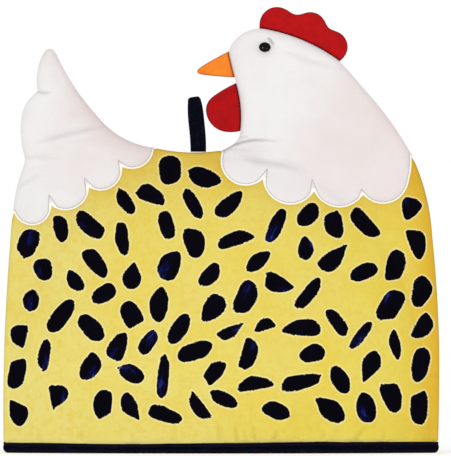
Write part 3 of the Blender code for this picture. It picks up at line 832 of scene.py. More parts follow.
def dab_outline(rng, long, wide):
    """One dab of ink, as a loaded brush leaves it: its two long sides bow differently, it
    was set down a little flat-sided, and its edge is broken where the brush lifted."""
    t = np.cos(np.linspace(0, math.pi, 41))
    fuller = rng.uniform(0.5, 0.86) if rng.random() < 0.6 else rng.uniform(0.46, 0.56)
    shift = rng.uniform(-0.22, 0.22)
    ends = end_shape(rng), end_shape(rng)
    sides = []
    for share, lean in ((fuller, shift), (1 - fuller, shift * rng.uniform(-1, 1))):
        at = t + lean * (1 - t * t)
        body = np.where(
            t < 0, np.abs(1 - np.abs(t) ** ends[0][0]) ** ends[0][1], np.abs(1 - np.abs(t) ** ends[1][0]) ** ends[1][1]
        )
        sides.append(np.stack([at, body * share], axis=1))
    shape = np.concatenate([sides[0], (sides[1] * [1, -1])[::-1][1:-1]])
    bend = rng.normal(0, 0.07)
    shape[:, 1] += bend * (1 - shape[:, 0] ** 2)
    # a few flat strokes round it, the two tips kept
    n = len(shape)
    k = np.sort(rng.choice(np.arange(2, n // 2 - 1), int(rng.integers(3, 6)), replace=False))
    m = np.sort(rng.choice(np.arange(n // 2 + 3, n - 2), int(rng.integers(2, 5)), replace=False))
    flat = shape[np.concatenate([[0], k, [n // 2], m])]
    flat += rng.normal(0, 0.018, flat.shape)
    rounded = rng.uniform(0.4, 0.85)
    both = evenly(np.concatenate([shape, shape[:1]]), 0.03)[:-1]
    inner = np.where(inside(both, flat), -1.0, 1.0)
    towards = both.mean(axis=0) - both
    towards /= np.linalg.norm(towards, axis=1)[:, None]
    both = both + towards * (off_outline(both, flat) * inner * (1 - rounded))[:, None]
    shape = both * [0.5 * long, wide]
    if rng.random() < 0.28:      # cut off on the slant at one end
        slant = rng.uniform(-0.7, 0.7)
        normal = np.array([math.cos(slant), math.sin(slant)]) * (1 if rng.random() < 0.5 else -1)
        far = (shape @ normal).max()
        shape = cut_off(shape, normal, far * rng.uniform(0.68, 0.86))
    size = shape.max(axis=0) - shape.min(axis=0)
    shape = (shape - (shape.max(axis=0) + shape.min(axis=0)) / 2) * [long / size[0], wide / size[1]]
    shape = evenly(np.concatenate([shape, shape[:1]]), 0.7)[:-1]
    for _ in range(5):
        shape = (np.roll(shape, 1, axis=0) + 2 * shape + np.roll(shape, -1, axis=0)) / 4
    out = -inwards(shape, True)
    if polygon_turn(shape) > 0:
        out = -out
    rough = rng.normal(0, 1, len(shape))
    rough = (np.roll(rough, 1) + rough + np.roll(rough, -1)) / 1.7
    amount = np.full(len(shape), 0.10)
    tips = [shape[np.argmin(shape[:, 0])], shape[np.argmax(shape[:, 0])]]
    for _ in range(int(rng.integers(0, 3))):      # broken where the bristles parted
        tip = tips[int(rng.integers(0, 2))] + rng.normal(0, 2.0, 2)
        near = np.linalg.norm(shape - tip, axis=1)
        amount = amount + rng.uniform(0.18, 0.5) * np.exp(-((near / rng.uniform(2.0, 4.0)) ** 2))
    shape = shape + out * np.clip(rough * amount, -0.45, 0.8)[:, None]
    if rng.random() < 0.16:      # a last hair of ink drawn out from a tip
        tip = tips[int(rng.integers(0, 2))]
        near = np.linalg.norm(shape - tip, axis=1)
        way = np.array([math.copysign(1.0, tip[0]), rng.normal(0, 0.35)])
        shape = shape + np.exp(-((near / 0.9) ** 2))[:, None] * way * rng.uniform(1.2, 3.0)
    return shape


def polygon_turn(loop):
    """More than 0 if a closed outline runs anticlockwise."""
    x, z = loop[:, 0], loop[:, 1]
    return (x * np.roll(z, -1) - np.roll(x, -1) * z).sum()


def dab_shapes(seed, field_loop):
    """Every dab's outline on the cloth, and where its ink shows blue."""
    dabs = lay_dabs(seed, field_loop, DAB_COUNT)
    rng = np.random.default_rng(seed + 7)
    out = []
    for i in range(DAB_COUNT):
        a = dabs["angle"][i] + (math.pi if rng.random() < 0.5 else 0)
        long, wide = dabs["long"][i], dabs["wide"][i]
        spin = np.array([[math.cos(a), math.sin(a)], [-math.sin(a), math.cos(a)]])
        outline = dab_outline(rng, long, wide) @ spin + dabs["at"][i]
        strength = rng.random()
        strength = 1.0 if strength > 0.89 else 0.6 if strength > 0.80 else 0.15 if strength > 0.6 else 0.0
        spot = np.array([rng.choice([-1, 1]) * rng.uniform(0.15, 0.38) * long, rng.uniform(-0.3, 0.3) * wide]) @ spin
        out.append((outline, strength, dabs["at"][i] + spot, spin, rng.uniform(2.2, 4.4)))
    return out


def print_dabs(points, shapes):
    """For each place: the signed distance to the nearest dab's edge (negative in ink), how
    blue its ink is, a number of the dab's own, and how far along and across it lies."""
    best = np.full(len(points), 6.0)
    blue, own, along, across = (np.zeros(len(points)) for _ in range(4))
    for i, (shape, strength, spot, spin, size) in enumerate(shapes):
        low, high = shape.min(axis=0) - 6, shape.max(axis=0) + 6
        near = np.where(((points > low) & (points < high)).all(axis=1))[0]
        if not len(near):
            continue
        at = points[near]
        d, _ = nearest(at, np.concatenate([shape, shape[:1]]))
        d = np.abs(d) * np.where(inside(at, shape), -1, 1)
        closer = d < best[near]
        off = (at - spot) @ spin.T
        glow = strength * np.exp(-((off[:, 0] / (2.1 * size)) ** 2) - (off[:, 1] / (0.75 * size)) ** 2)
        best[near[closer]] = d[closer]
        blue[near[closer]] = glow[closer]
        own[near[closer]] = 10.0 * i
        along[near[closer]] = off[closer, 0]
        across[near[closer]] = off[closer, 1]
    return {"dab": best, "dab_blue": blue, "dab_own": own, "dab_along": along, "dab_across": across}


# ---------------------------------------------------------------- materials
class Shader:
    """A short way to write a node material."""

    def __init__(self, name, roughness=0.85, **sockets):
        self.mat = bpy.data.materials.new(name)
        self.mat.use_nodes = True
        self.tree = self.mat.node_tree
        self.bsdf = self.tree.nodes["Principled BSDF"]
        self.bsdf.inputs["Roughness"].default_value = roughness
        for key, value in sockets.items():
            self.bsdf.inputs[key.replace("_", " ")].default_value = value
        coords = self.node("ShaderNodeTexCoord")
        self.mm = self.node("ShaderNodeVectorMath", operation="SCALE")
        self.link(coords.outputs["Object"], self.mm.inputs[0])
        self.mm.inputs["Scale"].default_value = 1000.0
        self.mm = self.mm.outputs[0]

    def node(self, kind, **props):
        made = self.tree.nodes.new(kind)
        for key, value in props.items():
            setattr(made, key, value)
        return made

    def link(self, a, b):
        self.tree.links.new(a, b)

    def put(self, socket, value):
        if isinstance(value, bpy.types.NodeSocket):
            self.link(value, socket)
        elif isinstance(value, tuple) and len(value) == 3 and socket.type == "RGBA":
            socket.default_value = (*value, 1)
        else:
            socket.default_value = value

    def math(self, operation, a, b=None, clamp=False):
        made = self.node("ShaderNodeMath", operation=operation, use_clamp=clamp)
        self.put(made.inputs[0], a)
        if b is not None:
            self.put(made.inputs[1], b)
        return made.outputs[0]

    def stretch(self, scale, turn=(0, 0, 0)):
        made = self.node("ShaderNodeMapping")
        self.link(self.mm, made.inputs["Vector"])
        made.inputs["Scale"].default_value = scale
        made.inputs["Rotation"].default_value = turn
        return made.outputs[0]

    def noise(self, size, detail=2.0, rough=0.5, vector=None, w=None):
        """Noise with features about size millimetres across, from 0 to 1."""
        made = self.node("ShaderNodeTexNoise")
        if w is not None:
            made.noise_dimensions = "4D"
            self.put(made.inputs["W"], w)
        self.link(vector or self.mm, made.inputs["Vector"])
        made.inputs["Scale"].default_value = 1.0 / size
        made.inputs["Detail"].default_value = detail
        made.inputs["Roughness"].default_value = rough
        return made.outputs["Fac"]

    def axis(self, name):
        """One coordinate of the surface, in millimetres."""
        made = self.node("ShaderNodeSeparateXYZ")
        self.link(self.mm, made.inputs[0])
        return made.outputs[name]

    def attribute(self, name):
        return self.node("ShaderNodeAttribute", attribute_name=name).outputs["Fac"]

    def between(self, value, low, high, to_low=0.0, to_high=1.0, shape="SMOOTHSTEP"):
        made = self.node("ShaderNodeMapRange", interpolation_type=shape)
        self.put(made.inputs["Value"], value)
        for key, v in zip(("From Min", "From Max", "To Min", "To Max"), (low, high, to_low, to_high)):
            made.inputs[key].default_value = v
        return made.outputs[0]

    def mix(self, share, a, b, blend="MIX"):
        made = self.node("ShaderNodeMix", data_type="RGBA", blend_type=blend)
        self.put(made.inputs[0], share)
        self.put(made.inputs[6], a)
        self.put(made.inputs[7], b)
        return made.outputs[2]

    def bands(self, pitch, direction, wobble=0.4, vector=None):
        """Evenly spaced ribs, pitch millimetres apart."""
        made = self.node("ShaderNodeTexWave", wave_type="BANDS", bands_direction=direction)
        self.link(vector or self.mm, made.inputs["Vector"])
        made.inputs["Scale"].default_value = 2 * math.pi / (20 * pitch)
        made.inputs["Distortion"].default_value = wobble
        made.inputs["Detail"].default_value = 1.0
        made.inputs["Detail Scale"].default_value = 0.6
        return made.outputs["Fac"]

    def bump(self, height, distance, strength=1.0, under=None):
        made = self.node("ShaderNodeBump")
        made.inputs["Strength"].default_value = strength
        made.inputs["Distance"].default_value = distance * MM
        self.link(height, made.inputs["Height"])
        if under is not None:
            self.link(under, made.inputs["Normal"])
        return made.outputs[0]

    def shade(self, colour, *tint):
        """Painted shade: the colour multiplied towards a darker tint by the deep attribute, in creases and other shaded
        places.
        """
        return self.mix(self.attribute("deep"), colour, tint, "MULTIPLY")

    def finish(self, colour=None, normal=None, roughness=None):
        if colour is not None:
            self.put(self.bsdf.inputs["Base Color"], colour)
        if normal is not None:
            self.link(normal, self.bsdf.inputs["Normal"])
        if roughness is not None:
            self.link(roughness, self.bsdf.inputs["Roughness"])
        return self.mat

    def weave(self, pitch, slubs=0.5):
        """Plain weave: warp and weft ribs, with threads that thicken here and there."""
        warp = self.bands(pitch, "X")
        weft = self.bands(pitch * 1.08, "Z")
        cloth = self.math("MAXIMUM", warp, weft)
        slub = self.noise(pitch * 4, 2.0, 0.6, self.stretch((1.0, 1.0, 0.25)))
        cross = self.noise(pitch * 4, 2.0, 0.6, self.stretch((0.25, 1.0, 1.0)))
        return self.math("ADD", cloth, self.math("MULTIPLY", self.math("ADD", slub, cross), slubs))


def srgb(r, g, b, light=1.0):
    """A colour seen as 0-255 values, as a surface colour under this much light."""
    return tuple((((c / 255 + 0.055) / 1.055) ** 2.4 if c > 10 else c / 255 / 12.92) / light for c in (r, g, b))


LIGHT = 1.27             # what a white surface facing forward sends back here

YELLOW = srgb(236, 215, 87, LIGHT)
YELLOW_PALE = srgb(234, 221, 130, LIGHT)
YELLOW_DEEP = srgb(229, 203, 84, LIGHT)
YELLOW_WARM_SHADE = srgb(226, 180, 50, LIGHT)
YELLOW_HEM_LIGHT = srgb(244, 232, 146, LIGHT)
HALO = srgb(247, 238, 176, LIGHT)
INK = srgb(2, 0, 9, LIGHT)
INK_BLUE = srgb(16, 20, 92, LIGHT)
INK_SHEEN = srgb(52, 76, 170, LIGHT)
WHITE = srgb(238, 237, 236, LIGHT)
WHITE_PINK_SHADE = srgb(232, 218, 216, LIGHT)
BORDER = srgb(252, 246, 228, 1.15)
STITCHED = srgb(186, 178, 188, LIGHT)


def yellow_cotton(name, printed):
    s = Shader(name, 0.86, Specular_IOR_Level=0.03)
    wide = s.noise(46, 2.0, 0.5)
    small = s.noise(5.5, 3.0, 0.6)
    grain = s.noise(0.9, 2.0, 0.6)
    # from tail side to head side the colour goes from paler to deeper
    across = s.math("ADD", s.between(s.axis("X"), -175, 175, 0.0, 1.0, "LINEAR"), s.between(wide, 0.3, 0.7, -0.22, 0.22), clamp=True)
    colour = s.mix(across, YELLOW_PALE, YELLOW)
    colour = s.mix(s.between(small, 0.42, 0.72, 0.0, 0.5), colour, YELLOW_DEEP)
    colour = s.mix(s.between(grain, 0.35, 0.75, 0.0, 0.28), colour, YELLOW_DEEP)
    threads = s.math("MAXIMUM", s.noise(1.5, 1.0, 0.5, s.stretch((1.0, 1.0, 0.06))), s.noise(1.5, 1.0, 0.5, s.stretch((0.06, 1.0, 1.0))))
    colour = s.mix(s.between(threads, 0.58, 0.80, 0.0, 0.45), colour, YELLOW_DEEP)
    # painted shade, warm and deeper, by the edges, seams and covers, with a little random tone
    painted_tone_here = s.attribute("painted_tone")
    painted_tone = s.math("ADD", painted_tone_here, s.between(wide, 0.3, 0.7, -0.08, 0.08), clamp=True)
    colour = s.mix(painted_tone, colour, YELLOW_WARM_SHADE)
    # painted light: paler just above the hem
    colour = s.mix(s.between(painted_tone_here, -0.5, -0.05, 0.75, 0.0), colour, YELLOW_HEM_LIGHT)
    weave = s.weave(0.62)
    if printed:
        # the edge is clean in some places and broken by the brush in others
        broken = s.between(s.noise(8.0, 1.0, 0.5), 0.46, 0.62, 0.35, 1.7)
        ragged = s.math("MULTIPLY", s.between(s.noise(1.15, 3.0, 0.7), 0, 1, -1, 1, "LINEAR"), broken)
        d = s.math("ADD", s.attribute("dab"), ragged)
        halo = s.between(d, 0.7, 1.5, 1.0, 0.0)
        colour = s.mix(s.math("MULTIPLY", halo, 0.66), colour, HALO)
        ink_mask = s.between(d, -0.16, 0.16, 1.0, 0.0)
        own = s.attribute("dab_own")
        blue = s.attribute("dab_blue")
        brush = s.node("ShaderNodeCombineXYZ")
        s.link(s.math("MULTIPLY", s.attribute("dab_along"), 0.22), brush.inputs[0])
        s.link(s.attribute("dab_across"), brush.inputs[1])
        streak = s.noise(1.7, 4.0, 0.72, brush.outputs[0], w=own)
        # the ink is thin and shows blue here and there, in most dabs hardly at all
        show = s.math("MULTIPLY", s.between(blue, 0.05, 0.55), s.between(streak, 0.44, 0.60, 0.0, 1.0))
        faint = s.math("MULTIPLY", s.between(streak, 0.55, 0.75), 0.20)
        ink = s.mix(s.math("MAXIMUM", show, faint), INK, INK_BLUE)
        bright = s.math("MULTIPLY", s.between(blue, 0.45, 1.0), s.between(streak, 0.52, 0.66, 0.0, 0.9))
        ink = s.mix(bright, ink, INK_SHEEN)
        colour = s.mix(ink_mask, colour, ink)
        rough = s.between(ink_mask, 0, 1, 0.86, 0.62, "LINEAR")
        normal = s.bump(weave, 0.10, 0.55)
        # painted shade from the deep attribute
        return s.finish(s.shade(colour, 0.62, 0.52, 0.30), normal, rough)
    # painted shade from the deep attribute
    return s.finish(s.shade(colour, 0.62, 0.52, 0.30), s.bump(weave, 0.10, 0.55))


def white_cotton(name):
    s = Shader(name, 0.88, Sheen_Weight=0.02, Sheen_Roughness=0.5, Specular_IOR_Level=0.10)
    wide = s.noise(38, 2.0, 0.5)
    grain = s.noise(1.0, 2.0, 0.6)
    # painted shade, pinkish, towards the right and along the seams, with a little random tone
    pink_shade = s.math("ADD", s.attribute("pink_shade"), s.between(wide, 0.3, 0.7, -0.15, 0.22), clamp=True)
    colour = s.mix(pink_shade, WHITE, WHITE_PINK_SHADE)
    colour = s.mix(s.between(grain, 0.3, 0.8, 0.0, 0.10), colour, STITCHED)
    stitched = s.attribute("stitched")
    border = s.math("MULTIPLY", s.between(stitched, -0.45, -0.15, 1.0, 0.0), s.between(s.attribute("edge"), 1.4, 4.5, 1.0, 0.15))
    colour = s.mix(border, colour, BORDER)
    line = s.between(s.math("ABSOLUTE", stitched), 0.15, 0.62, 1.0, 0.0)
    colour = s.mix(s.math("MULTIPLY", line, 0.85), colour, STITCHED)
    # painted shade from the deep attribute, greyer and pinkish
    return s.finish(s.shade(colour, 0.52, 0.45, 0.48), s.bump(s.weave(0.55, 0.4), 0.08, 0.45))


def trim_cotton(name, colour, deep, shade_line_colour):
    """Red or orange cotton, with painted shade: darker along its free edges, darkest where it is drawn into the head's
    seam.
    """
    s = Shader(name, 0.86, Sheen_Weight=0.01, Sheen_Roughness=0.5, Specular_IOR_Level=0.04)
    wide = s.noise(9, 3.0, 0.55)
    grain = s.noise(0.9, 2.0, 0.6)
    made = s.mix(s.between(wide, 0.35, 0.7), colour, deep)
    made = s.mix(s.between(grain, 0.4, 0.8, 0.0, 0.35), made, deep)
    weave = s.weave(0.5, 0.4)
    made = s.mix(s.between(weave, 0.5, 1.4, 0.22, 0.0), made, deep)
    # painted shade along the free edges and, darker, along the base in the head's seam
    made = s.mix(s.between(s.attribute("rim"), 0.25, 1.1, 0.62, 0.0), made, shade_line_colour)
    made = s.mix(s.between(s.attribute("base"), 0.5, 2.3, 0.95, 0.0), made, shade_line_colour)
    return s.finish(made, s.bump(weave, 0.10, 0.7))


def thread(name, colour):
    s = Shader(name, 0.6, Specular_IOR_Level=0.3)
    twist = s.bands(0.42, "DIAGONAL", 0.0)
    return s.finish(s.mix(s.between(twist, 0, 1, 0.0, 0.25, "LINEAR"), colour, tuple(c * 0.6 for c in colour)), s.bump(twist, 0.04, 0.5))


NAVY = srgb(3, 3, 13, LIGHT)
NAVY_LIGHT = srgb(20, 22, 54, LIGHT)
NAVY_PALE_FOLD = srgb(32, 28, 46, LIGHT)


def binding_cloth():
    s = Shader("navy_binding", 0.82, Specular_IOR_Level=0.03)
    wear = s.noise(5, 3.0, 0.6, s.stretch((0.35, 1.0, 1.5)))
    colour = s.mix(s.between(wear, 0.45, 0.8, 0.0, 0.5), NAVY, NAVY_LIGHT)
    # the folded edges are a little paler
    colour = s.mix(s.between(s.attribute("fold"), 0.0, 1.0, 0.0, 0.75, "LINEAR"), colour, NAVY_PALE_FOLD)
    return s.finish(colour, s.bump(s.weave(0.5, 0.5), 0.09, 0.6))


def loop_cloth():
    s = Shader("navy_tape", 0.78, Specular_IOR_Level=0.04)
    ribs = s.bands(0.9, "DIAGONAL", 0.6)
    wear = s.noise(4, 3.0, 0.6)
    colour = s.mix(s.between(wear, 0.45, 0.8, 0.0, 0.5), NAVY, NAVY_LIGHT)
    colour = s.mix(s.between(s.attribute("selvedge"), 0.15, 0.9, 0.35, 0.0), colour, NAVY_LIGHT)
    return s.finish(colour, s.bump(ribs, 0.16, 0.7))


def bead():
    s = Shader("black_bead", 0.05, IOR=1.45, Specular_IOR_Level=0.13)
    ring = s.between(s.noise(2.0, 2.0, 0.5), 0.3, 0.8, 0.0, 0.2)
    return s.finish(s.mix(ring, (0.0001, 0.0001, 0.0002), (0.0006, 0.0006, 0.0008)))


# ---------------------------------------------------------------- the pieces
front_print = yellow_cotton("yellow_cotton", True)
plain_yellow = yellow_cotton("yellow_cotton_reverse", False)
white = white_cotton("white_cotton")
red = trim_cotton("red_cotton", srgb(190, 22, 24, LIGHT), srgb(173, 20, 23, LIGHT), srgb(96, 10, 16, LIGHT))
# a darker copy of the red for the wattle, which hangs in shade: painted shade
red_in_shade = trim_cotton("red_cotton_in_shade", srgb(183, 21, 24, LIGHT), srgb(167, 19, 22, LIGHT), srgb(92, 10, 16, LIGHT))
orange = trim_cotton("orange_cotton", srgb(252, 142, 50, LIGHT), srgb(243, 128, 36, LIGHT), srgb(150, 62, 22, LIGHT))
white_thread = thread("white_thread", srgb(236, 232, 230, LIGHT))

SEAM_ROWS = (0.12, 0.4, 0.85, 1.5, 2.4, 3.5)
PRINT_LOW = 19.0         # the printed field stops short of the hem
yellow_field = np.concatenate(
    [left_side[left_side[:, 1] > PRINT_LOW], tail_free[::-1], back_seam, head_free[::-1],
     right_side[right_side[:, 1] > PRINT_LOW]]
)[::3]


def by_back(face):
    """How near the open seam of the back a place is, from 0 to 1."""
    return np.exp(-np.maximum(face.hen, 0) / 34.0) * smooth(185, 232, face.z) * smooth(170, 120, np.abs(face.p[:, 0]))


def panel_shade(face):
    """Painted shade on the yellow: a little darker in its creases, towards the top, along its seams, by the covers and
    along the back.
    """
    z = face.z
    high = 0.08 * smooth(40, 150, z) + 0.09 * smooth(150, 215, z)
    seam = np.exp(-((face.hen / 1.0) ** 2)) * (0.20 + 0.28 * smooth(175, 200, z))
    return face.deep + high + seam + 0.07 * by_back(face) + 0.08 * np.exp(-face.edge / 6.0)


def painted_tone_at(face):
    """Painted shade, warmer and deeper in tone, by the head side's edge, the tail side's seams, the back seam and the
    covers; painted light, paler, just above the hem.
    """
    x, z = face.p[:, 0], face.p[:, 1]
    right = smooth(80, 140, x) * np.exp(-((np.maximum(0, face.hen - 1) / 16.0) ** 1.4))
    rim = np.exp(-face.hen / 3.0) * 0.20 * smooth(-150, -60, x)
    top = 0.44 * by_back(face)
    by_cover = np.exp(-face.edge / 9.0) * 0.20
    # painted light: paler just above the hem
    hem_light = -0.5 * np.exp(-np.maximum(z - BIND_H, 0) / 4.0)
    return np.clip(np.minimum(0.95 * right, 0.78) + rim + top + by_cover + hem_light, -0.5, 1)


def make_panel(side, word):
    rows = [(r, 0.10) for r in rows_along(panel_seam, SEAM_ROWS, panel_loop)]
    shapes = dab_shapes(23 if side < 0 else 61, yellow_field)
    for shape, *_ in shapes:
        turn = math.copysign(1.0, polygon_turn(shape))
        for off in (-0.45, 0.45):
            rows.append((evenly(shape + off * turn * inwards(shape, True), 0.9), 0.42))
    rows += crease_rows(side, panel_loop)
    points, faces = net(panel_loop, rows, CLOTH_GRID, 0.95)
    face = Face(points, side)
    printed = print_dabs(points, shapes)
    under, under_faces = net(panel_loop, [], BACK_GRID, 4.0)
    inner = SEAM_GAP / 2 + hollow(under, side)
    obj = shell(
        f"padded_panel_{word}",
        side,
        (points, faces, face.panel_out()),
        (under, under_faces, inner),
        (panel_loop, []),
        [front_print, plain_yellow],
        [f"panel_{word}"],
        {
            **{key: (values, 6.0 if key == "dab" else 0.0) for key, values in printed.items()},
            # painted shade and painted light in the yellow's tone
            "painted_tone": (painted_tone_at(face), 0.3),
            # painted shade of the yellow
            "deep": (panel_shade(face), 0.0),
        },
    )
    # the raw hem runs up a little at its two ends, inside the binding's rounded corners
    mesh = obj.data
    at = np.empty(len(mesh.vertices) * 3)
    mesh.vertices.foreach_get("co", at)
    at = at.reshape(-1, 3)
    x, z = np.abs(at[:, 0]) / MM, at[:, 2] / MM
    at[:, 2] += HEM_END_RISE * MM * smooth(160, 164.5, x) * np.clip(1 - (z - HEM_LOW) / 8, 0, 1)
    mesh.vertices.foreach_set("co", at.ravel())
    mesh.update()
    return obj


def stitches(name, paths, height, material):
    """A row of short stitches along each path, each a bent bit of thread, in one mesh."""
    runs = []
    for path in paths:
        along = length_along(path)
        for k in range(int((along[-1] - 0.4) // (STITCH_LONG + STITCH_GAP))):
            at = (k + 0.25) * (STITCH_LONG + STITCH_GAP) + np.linspace(0, 1, 5) * STITCH_LONG
            runs.append(np.stack([np.interp(at, along, path[:, c]) for c in (0, 1)], axis=1))
    runs = np.array(runs)
    y = height(runs.reshape(-1, 2)).reshape(len(runs), 5)
    t = np.gradient(runs, axis=1)
    t /= np.linalg.norm(t, axis=2)[..., None]
    sink = np.array([-0.30, 0.02, 0.10, 0.02, -0.30])
    thick = THREAD_R * np.array([0.45, 1.0, 1.1, 1.0, 0.45])
    turn = np.arange(6) * math.pi / 3
    across = thick[:, None] * np.cos(turn)
    rise = sink[:, None] + thick[:, None] * np.sin(turn)
    points = np.stack(
        [
            runs[:, :, None, 0] - t[:, :, None, 1] * across,
            y[:, :, None] + np.sign(y[:, :, None]) * rise,
            runs[:, :, None, 1] + t[:, :, None, 0] * across,
        ],
        axis=3,
    ).reshape(-1, 3)
    faces = []
    for base in range(0, len(points), 30):
        for m in range(4):
            for a in range(6):
                b = (a + 1) % 6
                faces.append((base + 6 * m + a, base + 6 * m + b, base + 6 * m + 6 + b, base + 6 * m + 6 + a))
        faces.append(tuple(base + a for a in range(5, -1, -1)))
        faces.append(tuple(base + 24 + a for a in range(6)))
    return build(name, points, faces, [material])


def make_cover(kind, side, word, seam, free, paths, pink_shade):
    inner_seam = tucked(seam, GAP)
    free_line = free[1:-1]
    loop = np.concatenate([seam, free_line])
    low_loop = np.concatenate([inner_seam, free_line])
    stitch_line = np.concatenate([paths[0]] + [p[1:] for p in paths[1:]])
    rows = [(r, 0.10) for r in rows_along(seam, SEAM_ROWS, loop)]
    rows += [(r, 0.16) for r in rows_along(free, (0.22, 0.55, 1.0), loop)]
    stitch_rows = [stitch_line + off * inwards(stitch_line) for off in (0.0, -0.5, 0.5)]
    rows += [(r[inside(r, loop)], 0.22) for r in stitch_rows]
    rows += crease_rows(side, loop)
    points, faces = net(loop, rows, 1.45, 0.75)
    field = np.concatenate([seam, stitch_line])

    def stitched(p):
        d = distance(p, stitch_line)
        return np.where(inside(p, field), d, -d)

    face = Face(points, side)
    top = face.cover_out(distance(points, free), stitched(points))
    low, low_faces = net(low_loop, [], 4.0, 1.6)
    beneath = Face(low, side).panel_out() + 0.12
    n = len(loop)
    sewn = np.arange(n) < len(seam)
    sewn[0] = sewn[len(seam) - 1] = True
    first = np.where(sewn, SEAM_GAP / 2, top[:n] - (top[:n] - beneath[:n]) / 3)
    second = np.where(sewn, SEAM_GAP / 2, top[:n] - (top[:n] - beneath[:n]) * 2 / 3)
    obj = shell(
        f"{kind}_cloth_{word}",
        side,
        (points, faces, top),
        (low, low_faces, beneath),
        (loop, [(loop, first), (low_loop, second)]),
        [white],
        [f"{kind}_cover_{word}"],
        {
            "stitched": (stitched(points), 6.0),
            "edge": (distance(points, free), 1.0),
            "pink_shade": (pink_shade(points), 0.0),
            # painted shade in the creases, on the throat's lower lobe and on the tail beside the back
            "deep": (face.deep + shaded(points), 0.0),
        },
    )

    def height(xz):
        f = Face(xz, side)
        return side * f.cover_out(distance(xz, free), stitched(xz))

    tacks = stitches(f"{kind}_stitches_{word}", paths, height, white_thread)
    return obj


def shaded(p):
    """Painted shade: the throat's lower lobe, and the tail beside the back, are painted a little greyer."""
    throat = 0.13 * np.exp(-(((p[:, 0] - 16) / 20) ** 2) - (((p[:, 1] - 241) / 9) ** 2))
    back = 0.17 * np.exp(-distance(p, tail_seam[len(tail_seam) // 2 :]) / 8.0) * smooth(-132, -90, p[:, 0])
    tail = 0.022 * smooth(-50, -60, p[:, 0]) + 0.05 * np.exp(-(((p[:, 0] + 158) / 16) ** 2)) * smooth(236, 222, p[:, 1])
    return throat + back + tail


# painted shade, pinkish: along the tail's upper seam, low down, at its tip, and faintly all over
def tail_pink_shade(p):
    upper = np.exp(-distance(p, tail_seam[len(tail_seam) // 3 :]) / 26.0)
    low = 0.10 * smooth(262, 236, p[:, 1]) * smooth(-160, -120, p[:, 0])
    return np.clip(0.03 + 0.85 * upper * smooth(-150, -105, p[:, 0]) + low + 0.25 * smooth(300, 322, p[:, 1]), 0, 1)


# painted shade, pinkish: towards the right, along the upper seam, low on the left and in the middle, and faintly all
# over
def head_pink_shade(p):
    right = smooth(70, 150, p[:, 0])
    rim = np.exp(-distance(p, head_seam[len(head_seam) // 2 :]) / 14.0)
    low_left = np.exp(-(((p[:, 0] - 20) / 22) ** 2) - (((p[:, 1] - 238) / 12) ** 2))
    middle = 0.34 * smooth(44, 84, p[:, 0]) * smooth(316, 290, p[:, 1])
    return np.clip(0.06 + middle + 0.25 * right + 0.30 * rim * right + 0.25 * low_left, 0, 1)


def make_trim(name, arcs, end, cloth, full=1.6):
    """Two layers of cloth turned out and pressed, caught in the head's seam."""
    line = whole(HEAD_SEAM, RIGHT_SIDE[0], 0.5)
    first, last = (np.argmin(np.linalg.norm(line - (at.x, at.z), axis=1)) for at in (arcs[0], end))
    base = evenly((line - 0.12 * inwards(line))[first : last + 1], 1.0)
    free = whole(
        [arcs[0]._replace(x=base[0][0], z=base[0][1]), *arcs[1:]], end._replace(x=base[-1][0], z=base[-1][1]), 1.0
    )
    loop = np.concatenate([free, base[-2:0:-1]])
    closed = np.concatenate([loop, loop[:1]])
    rows = []
    for depth in (0.12, 0.35, 0.7, 1.2, 1.8):
        row = loop + depth * inwards(loop, True)
        rows.append((row[(distance(row, closed) > 0.93 * depth) & inside(row, loop)], 0.10))
    points, faces = net(loop, rows, 1.3, 0.65)
    to_free, to_base = distance(points, free), distance(points, base)
    e = np.clip(to_free / 2.6, 0, 1)
    half = 0.18 + (full - 0.18) * np.sqrt(1 - (1 - e) ** 2)
    half *= 1 - 0.42 * np.exp(-to_base / 2.2)
    # a pressed line inside the turned edge, and slight unevenness
    half -= 0.16 * np.exp(-(((to_free - 3.0) / 0.8) ** 2))
    wave = Wander(31 + len(name), 15.0)(points)
    front, back = half + 0.10 * wave * e, half - 0.10 * wave * e
    n = len(loop)
    obj = shell(
        name,
        1,
        (points, faces, -front),
        (points, faces, back),
        (loop, [(loop, np.zeros(n))]),
        [cloth],
        [name.split("_cloth")[0]],
        {"rim": (to_free, 5.0), "base": (to_base, 9.0)},
    )
    # the back half's values too
    for key, values in (("rim", to_free), ("base", to_base)):
        data = obj.data.attributes[key].data
        full_values = np.concatenate([values, values, values[:n]])
        data.foreach_set("value", full_values.astype(np.float32))
    return obj


def loop_path(n=40):
    points = []
    for k in range(2 * n + 1):
        t = k / (2 * n)
        rise = 1 - abs(2 * t - 1)
        high = LOOP_HIGH * math.sin(rise * math.pi / 2)
        swell = math.sin(math.pi * min(rise / 0.86, 1.0) ** 1.25 / 2)
        close = math.sqrt(max(0.0, 1 - max(0.0, (rise - 0.62) / 0.38) ** 2))
        reach = (LOOP_FOOT + (LOOP_BELLY - LOOP_FOOT) * swell) * close
        points.append((math.copysign(reach, t - 0.5) if k != n else 0.0, high))
    return np.array(points)


